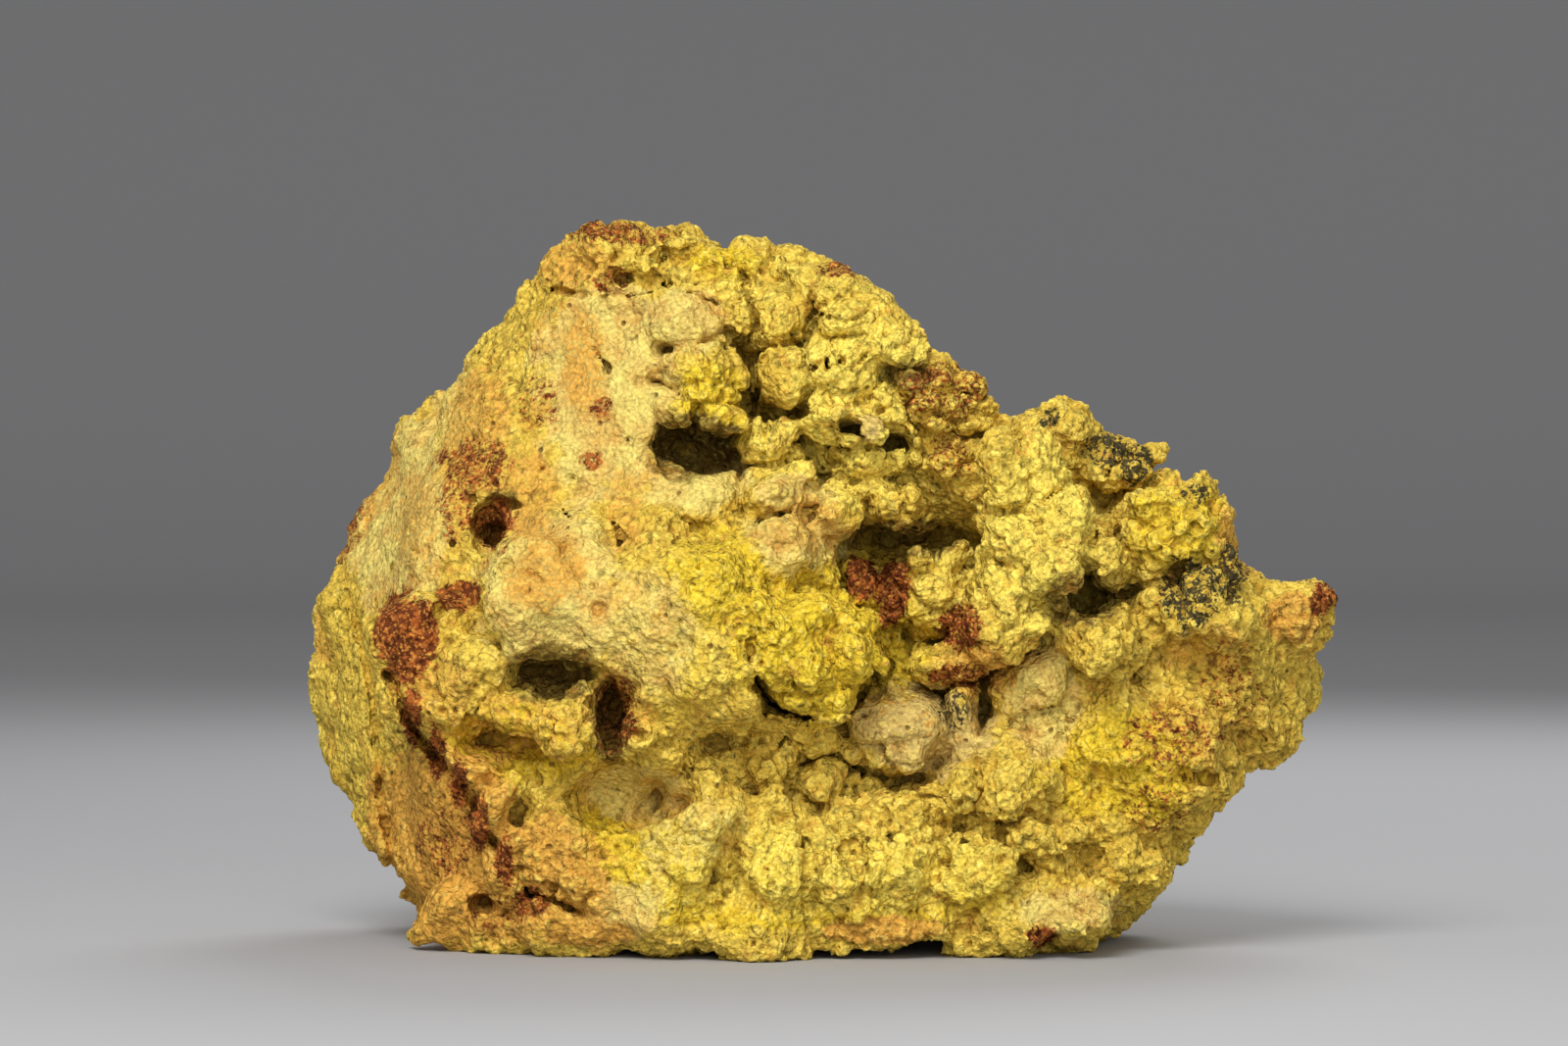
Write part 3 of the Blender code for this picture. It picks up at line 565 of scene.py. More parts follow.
def rock_field(block):
    """Distance outside the specimen: hull, less vug, with growths, less holes, cut flat on z = 0."""
    warp = [lumps(block, WARP, seed) for seed in (10, 20, 30)]
    corners = TOP_CORNERS + RIGHT_CORNERS + LEFT_CORNERS + FRONT_LEFT_CORNERS + FRONT_CORNERS + BACK_CORNERS
    field = hull_distance(block, corners) + lumps(block, BROAD_RELIEF, 40)
    carve(field, block, warp, VUG, VUG_EASE)
    add_masses(field, block, warp, LEFT_GROWTHS + RIGHT_GROWTHS + LOW_GROWTHS, MASS_EASE)
    warp = [SMALL_WARP * shift for shift in warp]
    field = add_growths(field, block, warp, TOP_GROWTHS + VUG_GROWTHS, GROWTH_EASE)
    carve(field, block, warp, VUG_HOLES + LOW_HOLES + BACK_HOLES, HOLE_EASE)
    depths = front_depths(field, block)
    field = add_growths(field, block, warp, bud_rows(depths, block), BUD_EASE)
    depths = front_depths(field, block)
    pits = [(*on_front(depths, block, x, z, 0), wide, deep, high) for x, z, wide, high, deep in PITS]
    carve(field, block, warp, pits, PIT_EASE)
    for width, depth, path in CRACKS:
        score(field, block, width, depth, path)
    x, y, z = block.open_axes()
    calm = sum(np.exp(-((x - a) / wide)**2 - ((z - b) / high)**2) for a, b, wide, high in CALM)
    calm = CALM_SHARE * np.minimum(calm, 1) / (1 + np.exp((y - CALM_DEPTH) / CALM_FADE))
    field += lumps(block, FINE_RELIEF, 50) * (1 - calm)
    return np.maximum(field, -z)


def skin(field, block):
    """Surface nets: a point in each crossed cell, and a quad round each crossed edge.

    A point lies at the mean of the places where the field is zero on its cell's edges, and its column is
    its cell's number along x.
    """
    inside = field < 0
    cells = tuple(n - 1 for n in field.shape)
    strides = np.array((cells[1] * cells[2], cells[2], 1))
    owners, crossings, quads = [], [], []
    for axis in range(3):
        first = tuple(slice(None, -1) if a == axis else slice(1, -1) for a in range(3))
        second = tuple(slice(1, None) if a == axis else slice(1, -1) for a in range(3))
        low_in, high_in = inside[first], inside[second]
        at = np.argwhere(low_in != high_in)
        keep = tuple(at.T)
        outward = low_in[keep]
        low_value, high_value = field[first][keep], field[second][keep]
        at += [0 if a == axis else 1 for a in range(3)]
        place = at.astype(np.float32)
        place[:, axis] += low_value / (low_value - high_value)
        side, up = (axis + 1) % 3, (axis + 2) % 3
        home = at @ strides
        ring = [home - strides[side] - strides[up], home - strides[up], home, home - strides[side]]
        ring = np.stack(ring, 1)
        ring[~outward] = ring[~outward, ::-1]
        quads.append(ring)
        owners.append(ring.ravel())
        crossings.append(np.repeat(place, 4, 0))
    quads = np.concatenate(quads)
    owners = np.concatenate(owners)
    crossings = np.concatenate(crossings)
    used, owners = np.unique(owners, return_inverse=True)
    counts = np.bincount(owners)
    places = np.stack([np.bincount(owners, crossings[:, a]) / counts for a in range(3)], 1)
    quads = owners.reshape(quads.shape)
    columns = used // strides[0]
    return (block.low + places * block.step).astype(np.float32), quads, columns


def largest_body(points, quads, columns):
    """The biggest connected part of a skin: labels flow to the lowest until nothing changes."""
    labels = np.arange(len(points))
    while True:
        lowest = labels[quads].min(1)
        flowed = labels.copy()
        np.minimum.at(flowed, quads.ravel(), np.repeat(lowest, 4))
        flowed = flowed[flowed]
        if (flowed == labels).all():
            break
        labels = flowed
    main = np.bincount(labels).argmax()
    kept = labels == main
    numbers = np.cumsum(kept) - 1
    return points[kept], numbers[quads[kept[quads[:, 0]]]], columns[kept]


def corner_normals(points, quads):
    """Normals at the points: the sum of the quads' diagonal cross products round each."""
    a, b, c, d = (points[quads[:, i]] for i in range(4))
    faces = np.cross(c - a, d - b)
    total = np.stack([np.bincount(quads.ravel(), np.repeat(faces[:, i], 4)) for i in range(3)], 1)
    return total / (np.linalg.norm(total, axis=1, keepdims=True) + 1e-12)


def seen(points):
    """Where points are seen from the eye, on the seen plane."""
    scale = SEEN_DISTANCE / (points[:, 1] - EYE[1])
    return (points[:, 0] - EYE[0]) * scale + EYE[0], (points[:, 2] - EYE[2]) * scale + EYE[2]


def smooth_step(low, high, value):
    """0 before `low`, 1 past `high` and 3t^2 - 2t^3 between, where `high` may be the smaller."""
    t = np.clip((value - low) / (high - low), 0, 1)
    return t * t * (3 - 2 * t)


def random_values(points, size, seed):
    """Smooth random values from -1 to 1: the corners of each point's cell, blended by 3t^2 - 2t^3."""
    table = np.random.default_rng(seed).uniform(-1, 1, (64, 64, 64)).astype(np.float32)
    place = points / size
    base = np.floor(place).astype(np.int32)
    t = place - base
    t = t * t * (3 - 2 * t)
    total = np.zeros(len(points), np.float32)
    for corner in np.ndindex(2, 2, 2):
        weight = np.prod(np.where(corner, t, 1 - t), axis=1)
        total += weight * table[tuple(((base + corner) & 63).T)]
    return total


def nearest_seeds(points, size, seed):
    """Distances to the nearest and next nearest of one random seed per cell, and the nearest's value."""
    table = np.random.default_rng(seed).random((32, 32, 32, 4), np.float32)
    place = points / size
    base = np.floor(place).astype(np.int32)
    first = np.full(len(points), FAR, np.float32)
    second = first.copy()
    value = np.zeros(len(points), np.float32)
    for corner in np.ndindex(3, 3, 3):
        home = base + (np.array(corner) - 1)
        entry = table[tuple((home & 31).T)]
        away = home + entry[:, :3] - place
        distance = np.sqrt(np.einsum("ij,ij->i", away, away))
        closer = distance < first
        second = np.where(closer, first, np.minimum(second, distance))
        value = np.where(closer, entry[:, 3], value)
        first = np.where(closer, distance, first)
    return first * size, second * size, value


def cell_domes(points, size, seed):
    """Round granules and the cracks between them.

    A granule is a dome of its seed's distance, 1 - (d / 0.75 size)^2, as high as the seed's value makes it,
    and a crack runs where two seeds are about as near.
    """
    first, second, value = nearest_seeds(points, size, seed)
    dome = 1 - (first / (0.75 * size))**2
    crack = 1 - smooth_step(0.0, 0.22, (second - first) / size)
    return np.clip(dome, -0.3, 1) * (0.6 + 0.8 * value), crack


def patches(places, wobble, rows):
    """How much of a finish lies at each seen place: each row's amount in its oval, fading over its edge."""
    x, z = places
    total = np.zeros(len(x), np.float32)
    for middle_x, middle_z, half_width, half_height, amount in rows:
        away = np.hypot((x - middle_x) / half_width, (z - middle_z) / half_height)
        total = np.maximum(total, amount * smooth_step(*PATCH_FADE, away + wobble))
    return total


def blurred(values, block, size):
    """Values averaged over bells of the given size along each axis in turn."""
    for axis, places in enumerate(block.axes):
        weights = np.exp(-((places[:, None] - places) / size)**2 / 2)
        weights /= weights.sum(1, keepdims=True)
        values = np.moveaxis(np.tensordot(weights.astype(np.float32), values, (1, axis)), 0, axis)
    return values


def read_at(values, block, points):
    """Values of a block at points between its own, each a blend of the eight round it."""
    place = np.clip((points - block.low) / block.step, 0, np.array(block.shape) - 1.001)
    base = place.astype(np.int32)
    t = place - base
    total = np.zeros(len(points), np.float32)
    for corner in np.ndindex(2, 2, 2):
        total += np.prod(np.where(corner, t, 1 - t), axis=1) * values[tuple((base + corner).T)]
    return total


def enclosure(field, block, points, normals, size):
    """How shut in each point is: the share of rock round a place just off the surface."""
    every = 3
    thin = block.thinned(every)
    rock_share = (field[::every, ::every, ::every] < 0).astype(np.float32)
    return read_at(blurred(rock_share, thin, size), thin, points + normals * 0.4 * size)


def dents(points, normals, quads):
    """How far each point lies below its surroundings: the mean of its quads' middles, taken four times."""
    counts = np.bincount(quads.ravel())
    level = points
    for _ in range(4):
        middles = np.repeat(level[quads].mean(1), 4, 0)
        level = np.stack([np.bincount(quads.ravel(), middles[:, a]) / counts for a in range(3)], 1)
    return np.einsum("ij,ij->i", level - points, normals)


def finish_amounts(points, places, wobble):
    """How far each point belongs to the front, and the amount of each finish there.

    The front has the seen patches, and the back has each finish in the highs or the lows of a drift.
    """
    depth = points[:, 1] + 5 * random_values(points, 6.0, 74)
    front, near_front = smooth_step(20, 6, depth), smooth_step(0, -9, depth)
    amounts = {name: share * patches(places, wobble, rows) for name, share, rows in (
        ("tan", front, TAN), ("orange", front, ORANGE), ("pale", front, PALE), ("sulphur", front, SULPHUR),
        ("lumpy", front, LUMPY), ("rust", near_front, RUST), ("grey", near_front, GREY),
        ("ashen", near_front, ASHEN), ("moss", near_front, MOSS))}
    drifts = {size: random_values(points, size, 90 + size) for size in (7, 11, 16)}
    for name, sign, size, start, most in BACK_FINISHES:
        amounts[name] += (1 - front) * most * smooth_step(start, start + 0.3, sign * drifts[size])
    return front, amounts


def fine_relief(points, amounts, calm):
    """How far the skin stands out at each point, in millimetres.

    Granules of four sizes with cracks between them, two layers of random lumps, pits and thin veins. The
    granules are low where the crust is smooth, which is where it is tan, ashen or calm.
    """
    crusted = amounts["tan"] * 0.8 + amounts["ashen"] * 0.5
    smooth = np.clip(np.maximum(crusted, calm - 0.5 * amounts["pale"]), 0, 1)
    rough = 1 - smooth
    bent = points + 0.35 * np.stack([random_values(points, 1.7, 72 + a) for a in range(3)], 1)
    lump, lump_crack = cell_domes(bent, 4.8, 79)
    large, large_crack = cell_domes(bent, 2.9, 80)
    middle, middle_crack = cell_domes(bent, 1.4, 81)
    small, small_crack = cell_domes(bent, 0.8, 82)
    lobed = smooth_step(-0.3, 0.5, random_values(points, 8.0, 88))
    lobed = np.maximum(lobed, 0.8 * amounts["pale"]) * rough
    first, _, value = nearest_seeds(points, 2.0, 83)
    pit = (value > 0.5) * smooth_step(0.62, 0.25, first)
    vein = smooth_step(0.07, 0.0, np.abs(random_values(bent, 3.4, 86)))
    vein = vein * smooth_step(0, 0.3, random_values(points, 6, 87))
    relief = lobed * (0.36 * large - 0.34 * large_crack) + rough * (0.17 * middle - 0.16 * middle_crack)
    relief += rough * (0.16 * small - 0.06 * small_crack) + smooth * (0.1 * middle + 0.08 * small)
    relief += (0.1 + 0.1 * rough) * random_values(points, 1.3, 84) + 0.08 * random_values(points, 0.65, 85)
    relief += amounts["lumpy"] * (0.5 * lump - 0.45 * lump_crack)
    relief -= 0.6 * pit * (0.3 + 0.7 * rough) + 0.4 * vein
    return relief


def finished(points, normals, quads, field, block):
    """The skin with its fine relief: new points, the named amounts of each finish, and the dent and cavity
    amounts for painted highlight and shade.
    """
    places = seen(points)
    wobble = 0.22 * random_values(points, 2.6, 70) + 0.12 * random_values(points, 1.1, 71)
    front, amounts = finish_amounts(points, places, wobble)
    calm = front * patches(places, wobble, [(*row, CALM_FINE_SHARE) for row in CALM])
    relief = fine_relief(points, amounts, calm)
    del amounts["lumpy"]
    # How shut in a point is, which the material darkens as painted shade in hollows.
    amounts["cavity"] = smooth_step(0.5, 0.85, enclosure(field, block, points, normals, 2.2))
    moved = points + normals * (relief - RELIEF_LEVEL)[:, None]
    moved[:, 2] = np.maximum(moved[:, 2], 0)
    # How far a point lies below its neighbours, which the material turns into painted shade in dips and a
    # painted highlight on crests.
    amounts["dent"] = np.clip(0.5 + 1.4 * dents(moved, normals, quads), 0, 1)
    return moved, amounts


def rims(quads):
    """The edges that an odd number of quads has, each in the direction that one quad more runs along it."""
    edges = np.concatenate([quads[:, [i, (i + 1) % 4]] for i in range(4)])
    low, high = edges.min(1).astype(np.int64), edges.max(1)
    names, numbers = np.unique(low * (quads.max() + 1) + high, return_inverse=True)
    run = np.bincount(numbers, np.where(edges[:, 0] == low, 1, -1)).astype(int)
    ends = np.stack(np.divmod(names, quads.max() + 1), 1)
    ends[run < 0] = ends[run < 0, ::-1]
    return ends[run % 2 == 1]


def cap(flat, rim, outward):
    """Triangles across the loops of a rim, worked out on its flat (y, z) places, facing +X or -X.

    A triangle is kept if a straight line along y from its middle crosses the rim an odd number of times.
    """
    used, numbers = np.unique(rim, return_inverse=True)
    places = [Vector(place) for place in flat[used].tolist()]
    made = geometry.delaunay_2d_cdt(places, numbers.reshape(-1, 2).tolist(), [], 0, 1e-6, True)
    faces, sources = made[2], made[3]
    faces = np.array([[used[sources[corner][0]] for corner in face] for face in faces])
    y, z = flat[faces].mean(1).T[:, :, None]
    (y0, z0), (y1, z1) = flat[rim].transpose(1, 2, 0)
    side = (y - y0) * (z1 - z0) - (z - z0) * (y1 - y0)
    crossed = ((z0 > z) != (z1 > z)) & ((side < 0) == (z1 > z0))
    kept = faces[crossed.sum(1) % 2 == 1]
    return kept if outward > 0 else kept[:, ::-1]


def slab(quads, columns, flat, first, last):
    """The part of a skin in columns `first` to `last`, closed: used points, quads and cap triangles.

    An end is closed a little inside the rock, where nothing shows. A skirt of quads runs in from the rim to
    the sunk copies of its points, numbered after all the skin's own, and the cap lies across those.
    """
    lowest = columns[quads].min(1)
    mine = quads[(lowest >= first) & (lowest < last)]
    rim = rims(mine)
    sides, caps = [mine], []
    for column, outward in ((first, -1), (last, 1)):
        loop = rim[(columns[rim] == column).all(1)]
        if len(loop):
            sides.append(np.concatenate((loop[:, ::-1], loop + len(columns)), 1))
            caps.append(cap(flat, loop, outward) + len(columns))
    sides, caps = np.concatenate(sides), np.concatenate(caps)
    used, numbers = np.unique(np.concatenate((sides.ravel(), caps.ravel())), return_inverse=True)
    return used, numbers[:sides.size].reshape(-1, 4), numbers[sides.size:].reshape(-1, 3)


def new_piece(name, points, normals, quads, caps, amounts, material):
    """A mesh of quads and cap triangles, shaded by the whole skin's normals so that no line shows."""
    mesh = bpy.data.meshes.new(name)
    mesh.vertices.add(len(points))
    mesh.vertices.foreach_set("co", (points * MM).astype(np.float32).ravel())
    corners = np.concatenate((quads.ravel(), caps.ravel()))
    sizes = np.repeat((4, 3), (len(quads), len(caps)))
    mesh.loops.add(len(corners))
    mesh.loops.foreach_set("vertex_index", corners.astype(np.int32))
    mesh.polygons.add(len(sizes))
    mesh.polygons.foreach_set("loop_start", (np.cumsum(sizes) - sizes).astype(np.int32))
    mesh.polygons.foreach_set("use_smooth", sizes == 4)
    for key, values in amounts.items():
        mesh.attributes.new(key, "FLOAT", "POINT").data.foreach_set("value", values.astype(np.float32))
    mesh.update(calc_edges=True)
    mesh.normals_split_custom_set_from_vertices(normals.tolist())
    mesh.materials.append(material)
    piece = bpy.data.objects.new(name, mesh)
    bpy.context.scene.collection.objects.link(piece)
    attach(piece, "root")
    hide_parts(NODE)


def make_pieces(names, points, normals, flat, sunk, quads, columns, amounts, material):
    """The skin cut across X into closed slabs of about as many faces each."""
    points, normals = np.concatenate((points, sunk)), np.tile(normals, (2, 1))
    lowest = columns[quads].min(1)
    cuts = [0, *np.quantile(lowest, np.arange(1, len(names)) / len(names)).astype(int), columns.max() + 1]
    for name, first, last in zip(names, cuts, cuts[1:]):
        used, mine, caps = slab(quads, columns, flat, first, last)
        own = {key: np.tile(values, 2)[used] for key, values in amounts.items()}
        new_piece(name, points[used], normals[used], mine, caps, own, material)


def plain_material(name, colour, roughness):
    """One colour all over."""
    material = bpy.data.materials.new(name)
    material.use_nodes = True
    shader = material.node_tree.nodes["Principled BSDF"]
    shader.inputs["Base Color"].default_value = (*colour, 1)
    shader.inputs["Roughness"].default_value = roughness
    return material


class Ink:
    """One value in a material, with the usual arithmetic: each operation adds its Math node."""

    def __init__(self, sheet, socket):
        self.sheet = sheet
        self.socket = socket

    def maths(self, operation, first, second):
        """One Math node of two values."""
        return self.sheet.node("ShaderNodeMath", {"operation": operation}, {0: first, 1: second})

    def __add__(self, other):
        return self.maths("ADD", self, other)

    def __sub__(self, other):
        return self.maths("SUBTRACT", self, other)

    def __rsub__(self, other):
        return self.maths("SUBTRACT", other, self)

    def __mul__(self, other):
        return self.maths("MULTIPLY", self, other)

    __radd__ = __add__
    __rmul__ = __mul__

    def over(self, low, high):
        """0 up to `low`, 1 from `high`, and a smooth rise between."""
        settings = {"interpolation_type": "SMOOTHSTEP"}
        inputs = {"Value": self, "From Min": low, "From Max": high}
        return self.sheet.node("ShaderNodeMapRange", settings, inputs)


class Sheet:
    """The node tree of one material."""

    def __init__(self, name):
        self.material = bpy.data.materials.new(name)
        self.material.use_nodes = True
        self.tree = self.material.node_tree
        self.shader = self.tree.nodes["Principled BSDF"]

    def feed(self, socket, value):
        """Links a value to a socket, or sets the socket to a plain number or colour."""
        if isinstance(value, Ink):
            self.tree.links.new(value.socket, socket)
        else:
            socket.default_value = value

    def node(self, kind, settings, inputs, output=0):
        """Adds a node, sets its settings, feeds its sockets and gives back one of its outputs."""
        node = self.tree.nodes.new(kind)
        for key, value in settings.items():
            setattr(node, key, value)
        for key, value in inputs.items():
            self.feed(node.inputs[key], value)
        return Ink(self, node.outputs[output])

    def amount(self, name):
        """The piece's own value of that name, which it holds at each point."""
        return self.node("ShaderNodeAttribute", {"attribute_name": name}, {}, "Fac")

    def mix(self, share, first, second):
        """One colour at a share of 0 and the other at 1."""
        settings = {"data_type": "RGBA"}
        return self.node("ShaderNodeMix", settings, {0: share, 6: first, 7: second}, 2)

    def noise(self, place, size, detail=3.0, rough=0.6):
        """Fractal noise whose largest lumps are `size` millimetres across."""
        inputs = {"Vector": place, "Scale": 1000 / size, "Detail": detail, "Roughness": rough}
        return self.node("ShaderNodeTexNoise", {}, inputs)

    def spread_over(self, colour, ragged, layers):
        """Lays finishes over a colour, each by its amount: (name, colour, how ragged its edge is).

        A finish starts to show at a low amount, and its edge is broken up by the ragged noise.
        """
        for name, tint, unevenness in layers:
            amount = self.amount(name)
            share = (amount * 1.3 + ragged * unevenness).over(0.2, 0.8) * amount.over(0.02, 0.25)
            colour = self.mix(share, colour, tint)
        return colour

    def swirled(self, place, size, reach):
        """A place moved by up to `reach` millimetres, by noise whose lumps are `size` across."""
        swirl = self.node("ShaderNodeTexNoise", {}, {"Vector": place, "Scale": 1000 / size}, "Color")
        inputs = {0: swirl, 1: (reach * MM,) * 3, 2: place}
        return self.node("ShaderNodeVectorMath", {"operation": "MULTIPLY_ADD"}, inputs)

    def cells(self, place, size):
        """Cells about `size` millimetres apart: the distance from their middle, and their random value."""
        inputs = {"Vector": place, "Scale": 1000 / size}
        distance = self.node("ShaderNodeTexVoronoi", {}, inputs, "Distance")
        return distance, Ink(self, distance.socket.node.outputs["Color"])


# Colours of the crust and its finishes, and of its painted highlight and painted shade.
OCHRE = (0.60, 0.40, 0.05, 1)
BRIGHT_OCHRE = (0.71, 0.51, 0.075, 1)
BUFF = (0.61, 0.40, 0.10, 1)
PALE_BUFF = (0.67, 0.53, 0.135, 1)
SULPHUR_YELLOW = (0.68, 0.475, 0.03, 1)
PALE_YELLOW = (0.76, 0.58, 0.09, 1)
ASH_YELLOW = (0.55, 0.39, 0.115, 1)
BURNT_ORANGE = (0.60, 0.31, 0.05, 1)
MOSS_BROWN = (0.17, 0.105, 0.018, 1)
ROCK_GREY = (0.06, 0.048, 0.02, 1)
DARK_CRYSTAL = (0.12, 0.028, 0.008, 1)
RED_CRYSTAL = (0.33, 0.09, 0.018, 1)
ORANGE_CRYSTAL = (0.46, 0.19, 0.035, 1)
LIGHT_FLECK = (0.84, 0.66, 0.17, 1)
ORANGE_FLECK = (0.58, 0.29, 0.05, 1)
BROWN_FLECK = (0.50, 0.25, 0.035, 1)
# Painted highlight for crests, then painted shade for dips and hollows.
CREST_HIGHLIGHT = (0.86, 0.66, 0.12, 1)
DIP_SHADE = (0.24, 0.115, 0.014, 1)
HOLLOW_SHADE = (0.17, 0.10, 0.018, 1)
SPLIT_BROWN = (0.16, 0.075, 0.012, 1)
# Painted shade for pores.
PORE_SHADE = (0.15, 0.06, 0.012, 1)


def crust_colour(sheet, noises, grain_kind, fine_kind):
    """Ochre yellow with each finish laid over it, flecked, with a painted highlight on crests and painted
    shade in dips and hollows.
    """
    broad, blotch, mottle, fleck, speck = noises
    dent, cavity = sheet.amount("dent"), sheet.amount("cavity")
    ragged = (fleck - 0.5) * 1.4 + (speck - 0.5)
    buff = sheet.mix(blotch.over(0.38, 0.62), BUFF, PALE_BUFF)
    crystals = sheet.mix(grain_kind.over(0.45, 0.7), DARK_CRYSTAL, RED_CRYSTAL)
    crystals = sheet.mix(fine_kind.over(0.66, 0.8), crystals, ORANGE_CRYSTAL)
    colour = sheet.mix((broad + mottle * 0.5).over(0.6, 0.95), OCHRE, BRIGHT_OCHRE)
    colour = sheet.spread_over(colour, ragged, (
        ("sulphur", SULPHUR_YELLOW, 0.8), ("pale", PALE_YELLOW, 0.8), ("tan", buff, 0.8),
        ("ashen", ASH_YELLOW, 0.8), ("orange", BURNT_ORANGE, 1.2), ("moss", MOSS_BROWN, 0.8)))
    colour = sheet.mix(fleck.over(0.57, 0.70) * 0.5, colour, LIGHT_FLECK)
    orange_flecks = (1 - blotch).over(0.52, 0.66) * (1 - fleck).over(0.45, 0.6)
    colour = sheet.mix(orange_flecks * 0.7, colour, ORANGE_FLECK)
    colour = sheet.mix((1 - fleck).over(0.58, 0.70) * 0.5, colour, BROWN_FLECK)
    # Painted highlight: crests that stand above their neighbours are lightened.
    colour = sheet.mix((1 - dent).over(0.52, 0.9) * 0.4, colour, CREST_HIGHLIGHT)
    colour = sheet.spread_over(colour, ragged, (("grey", ROCK_GREY, 3.4), ("rust", crystals, 2.0)))
    # Painted shade: dips below their neighbours are darkened.
    colour = sheet.mix(dent.over(0.57, 1.0) * 0.6, colour, DIP_SHADE)
    # Painted shade: shut-in hollows are darkened.
    return sheet.mix(cavity.over(0.4, 1.0) * 0.5, colour, HOLLOW_SHADE)


def crust_splits(sheet, place, broad, mottle):
    """Thin dark splits along the edges of curved cells, in some patches only."""
    curved = sheet.swirled(place, 3.0, 3.0)
    settings, inputs = {"feature": "DISTANCE_TO_EDGE"}, {"Vector": curved, "Scale": 1000 / 4.5}
    edge = sheet.node("ShaderNodeTexVoronoi", settings, inputs, "Distance")
    return (1 - edge.over(0.008, 0.03)) * broad.over(0.49, 0.56) * mottle.over(0.44, 0.52)


def crust_material():
    """Earthy sulphate crust: its colour, then dark splits, painted shade in the pores and round the grains,
    and the bump they stand out by.
    """
    sheet = Sheet("zincocopiapite crust")
    place = sheet.node("ShaderNodeTexCoord", {}, {}, "Object")
    broad, blotch = sheet.noise(place, 9.0), sheet.noise(place, 4.2)
    mottle, fleck = sheet.noise(place, 2.0, 3.0, 0.65), sheet.noise(place, 1.0, 3.0, 0.7)
    speck = sheet.noise(place, 0.42, 2.0, 0.7)
    bent = sheet.swirled(place, 0.6, 0.12)
    grain, grain_kind = sheet.cells(bent, 0.5)
    fine_grain, fine_kind = sheet.cells(bent, 0.24)
    bead, bead_kind = sheet.cells(bent, 0.95)
    beaded = (1 - sheet.amount("tan") * 0.85) * (1 - sheet.amount("ashen") * 0.7) * mottle.over(0.38, 0.55)
    pore, pore_kind = sheet.cells(bent, 1.7)
    pore = (1 - pore.over(0.05, 0.22)) * pore_kind.over(0.62, 0.72)
    split = crust_splits(sheet, place, broad, mottle)
    colour = crust_colour(sheet, (broad, blotch, mottle, fleck, speck), grain_kind, fine_kind)
    colour = sheet.mix(split * 0.5, colour, SPLIT_BROWN)
    # Painted shade in the pores.
    colour = sheet.mix(pore * 0.75, colour, PORE_SHADE)
    # Random tone of grains, specks and mottle, with painted shade round the edges of the grains and between
    # the beads.
    shade = 1.26 - grain.over(0.3, 0.8) * 0.22 - fine_grain.over(0.3, 0.8) * 0.14 + (grain_kind - 0.5) * 0.2
    shade = shade + (fine_kind - 0.5) * 0.22 + (speck - 0.5) * 0.8 + (mottle - 0.5) * 0.5
    shade = shade - beaded * (bead.over(0.4, 0.85) * 0.5 - 0.12 + (bead_kind - 0.5) * 0.1)
    colour = sheet.node("ShaderNodeVectorMath", {"operation": "SCALE"}, {0: colour, "Scale": shade})
    sheet.feed(sheet.shader.inputs["Base Color"], colour)
    sheet.shader.inputs["Roughness"].default_value = 0.9
    sheet.shader.inputs["Specular IOR Level"].default_value = 0.1
    relief = speck * 0.8 + fleck * 0.9 - grain * grain * 0.7 - pore * 1.3 - beaded * bead * bead * 1.8
    bump = sheet.node("ShaderNodeBump", {}, {"Strength": 1.0, "Distance": 0.32 * MM, "Height": relief})
    sheet.feed(sheet.shader.inputs["Normal"], bump)
    return sheet.material


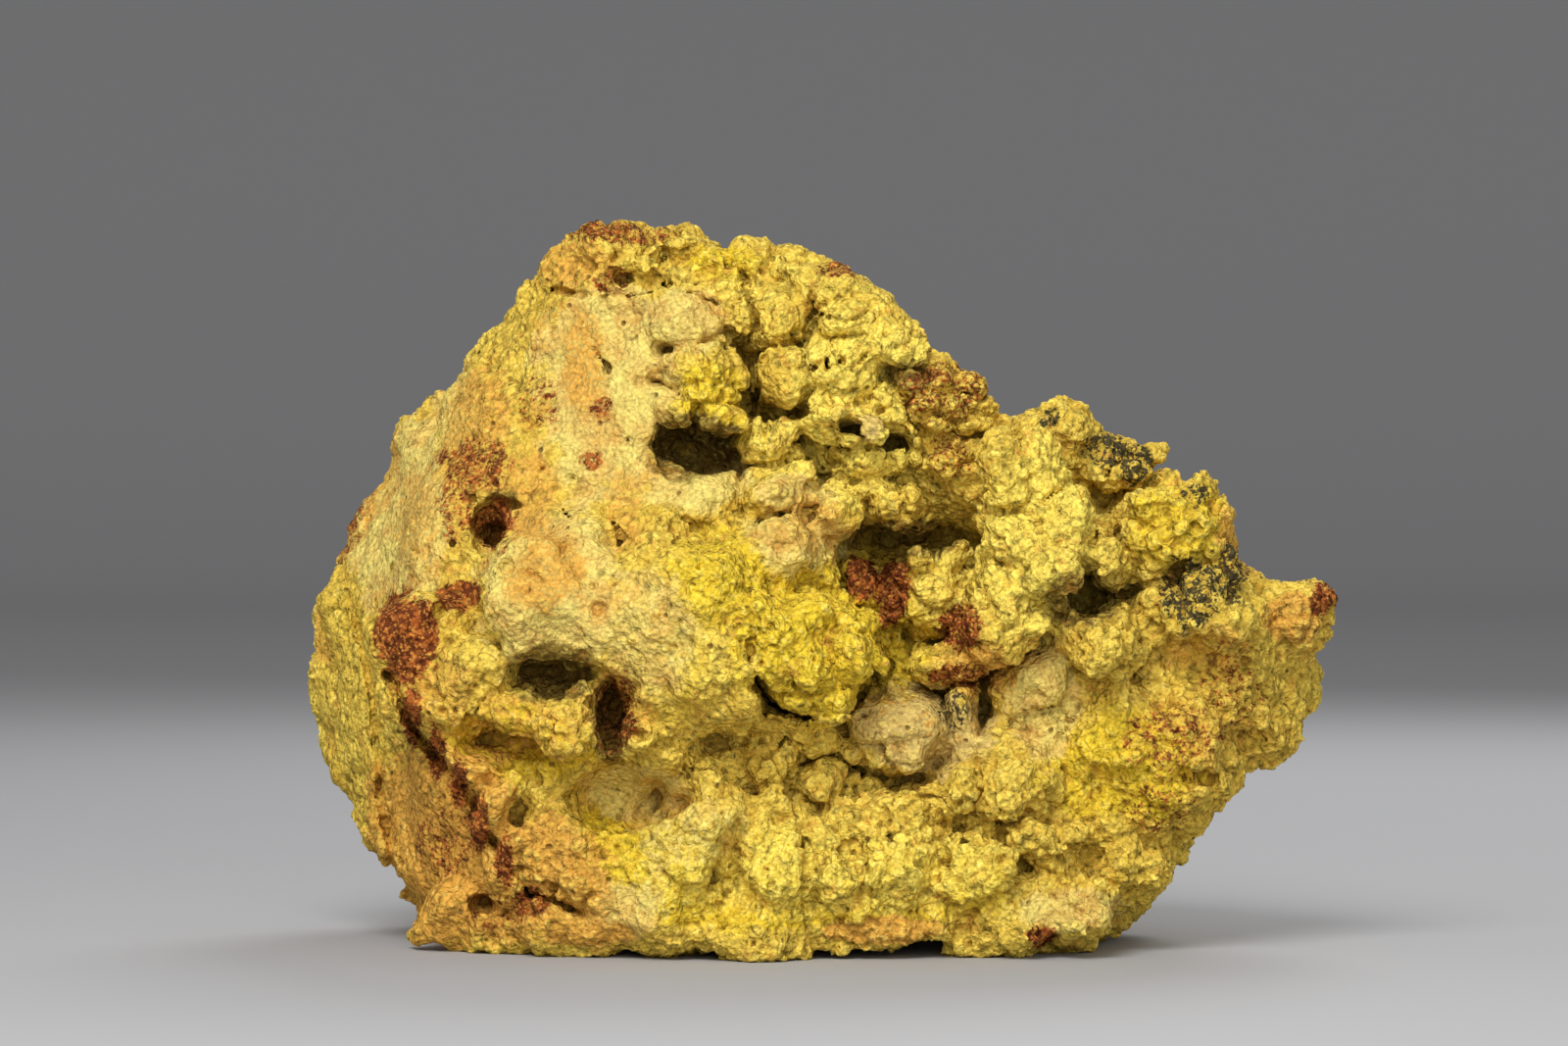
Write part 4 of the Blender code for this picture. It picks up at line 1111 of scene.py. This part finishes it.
def make_floor():
    """A pale floor that curves up into a backdrop: a profile of a flat run, a quarter round and a wall."""
    turn = np.linspace(0, np.pi / 2, 24)
    near, reach, rise, wall, half = -3000.0, 2000.0, 600.0, 3000.0, 3500.0
    depth = np.concatenate(([near], reach + rise * np.sin(turn), [reach + rise]))
    height = np.concatenate(([0.0], rise * (1 - np.cos(turn)), [wall]))
    left = np.stack([np.full(len(depth), -half), depth, height], 1)
    points = np.concatenate([left, left * (-1, 1, 1)]) * MM
    n = len(depth)
    faces = [(i, i + n, i + n + 1, i + 1) for i in range(n - 1)]
    mesh = bpy.data.meshes.new("floor")
    mesh.from_pydata(points.tolist(), [], faces)
    mesh.shade_smooth()
    mesh.materials.append(plain_material("pale floor", (0.42, 0.42, 0.43), 0.8))
    floor = bpy.data.objects.new("floor", mesh)
    bpy.context.scene.collection.objects.link(floor)


def make_camera():
    """The eye: level along +Y but for its pitch."""
    data = bpy.data.cameras.new("camera")
    data.lens = LENS
    data.sensor_width = SENSOR
    data.clip_start = 0.01
    camera = bpy.data.objects.new("camera", data)
    camera.location = [v * MM for v in EYE]
    camera.rotation_euler = (np.radians(90 + EYE_PITCH), 0, 0)
    bpy.context.scene.collection.objects.link(camera)
    bpy.context.scene.camera = camera


def make_light(name, place, size, power, target=(0, -10, 38)):
    """A round softbox turned to the middle of the specimen."""
    data = bpy.data.lights.new(name, "AREA")
    data.shape = "DISK"
    data.size = size * MM
    data.energy = power
    light = bpy.data.objects.new(name, data)
    light.location = [v * MM for v in place]
    aim = Vector(target) - Vector(place)
    light.rotation_euler = aim.to_track_quat("-Z", "Y").to_euler()
    bpy.context.scene.collection.objects.link(light)


def make_lights():
    """An even pale surround, with a softbox high at the front left, a low fill and one high behind."""
    world = bpy.data.worlds.new("studio")
    bpy.context.scene.world = world
    world.use_nodes = True
    world.node_tree.nodes["Background"].inputs["Color"].default_value = (0.9, 0.9, 0.9, 1)
    world.node_tree.nodes["Background"].inputs["Strength"].default_value = 0.42
    make_light("top softbox", (-130, -500, 450), 340, 3.5)
    make_light("front fill", (60, -660, 90), 420, 1.5)
    make_light("back softbox", (160, 480, 460), 380, 1.6)


bpy.context.scene.view_settings.view_transform = "Standard"
make_camera()
make_floor()
make_lights()
block = filled_block(LOW, HIGH, STEP)
field = rock_field(block)
points, quads, columns = skin(field, block)
points, quads, columns = largest_body(points, quads, columns)
normals = corner_normals(points, quads)
flat, sunk = points[:, 1:], points - CAP_DEPTH * normals
points, amounts = finished(points, normals, quads, field, block)
normals = corner_normals(points, quads)
make_pieces(PIECES, points, normals, flat, sunk, quads, columns, amounts, crust_material())
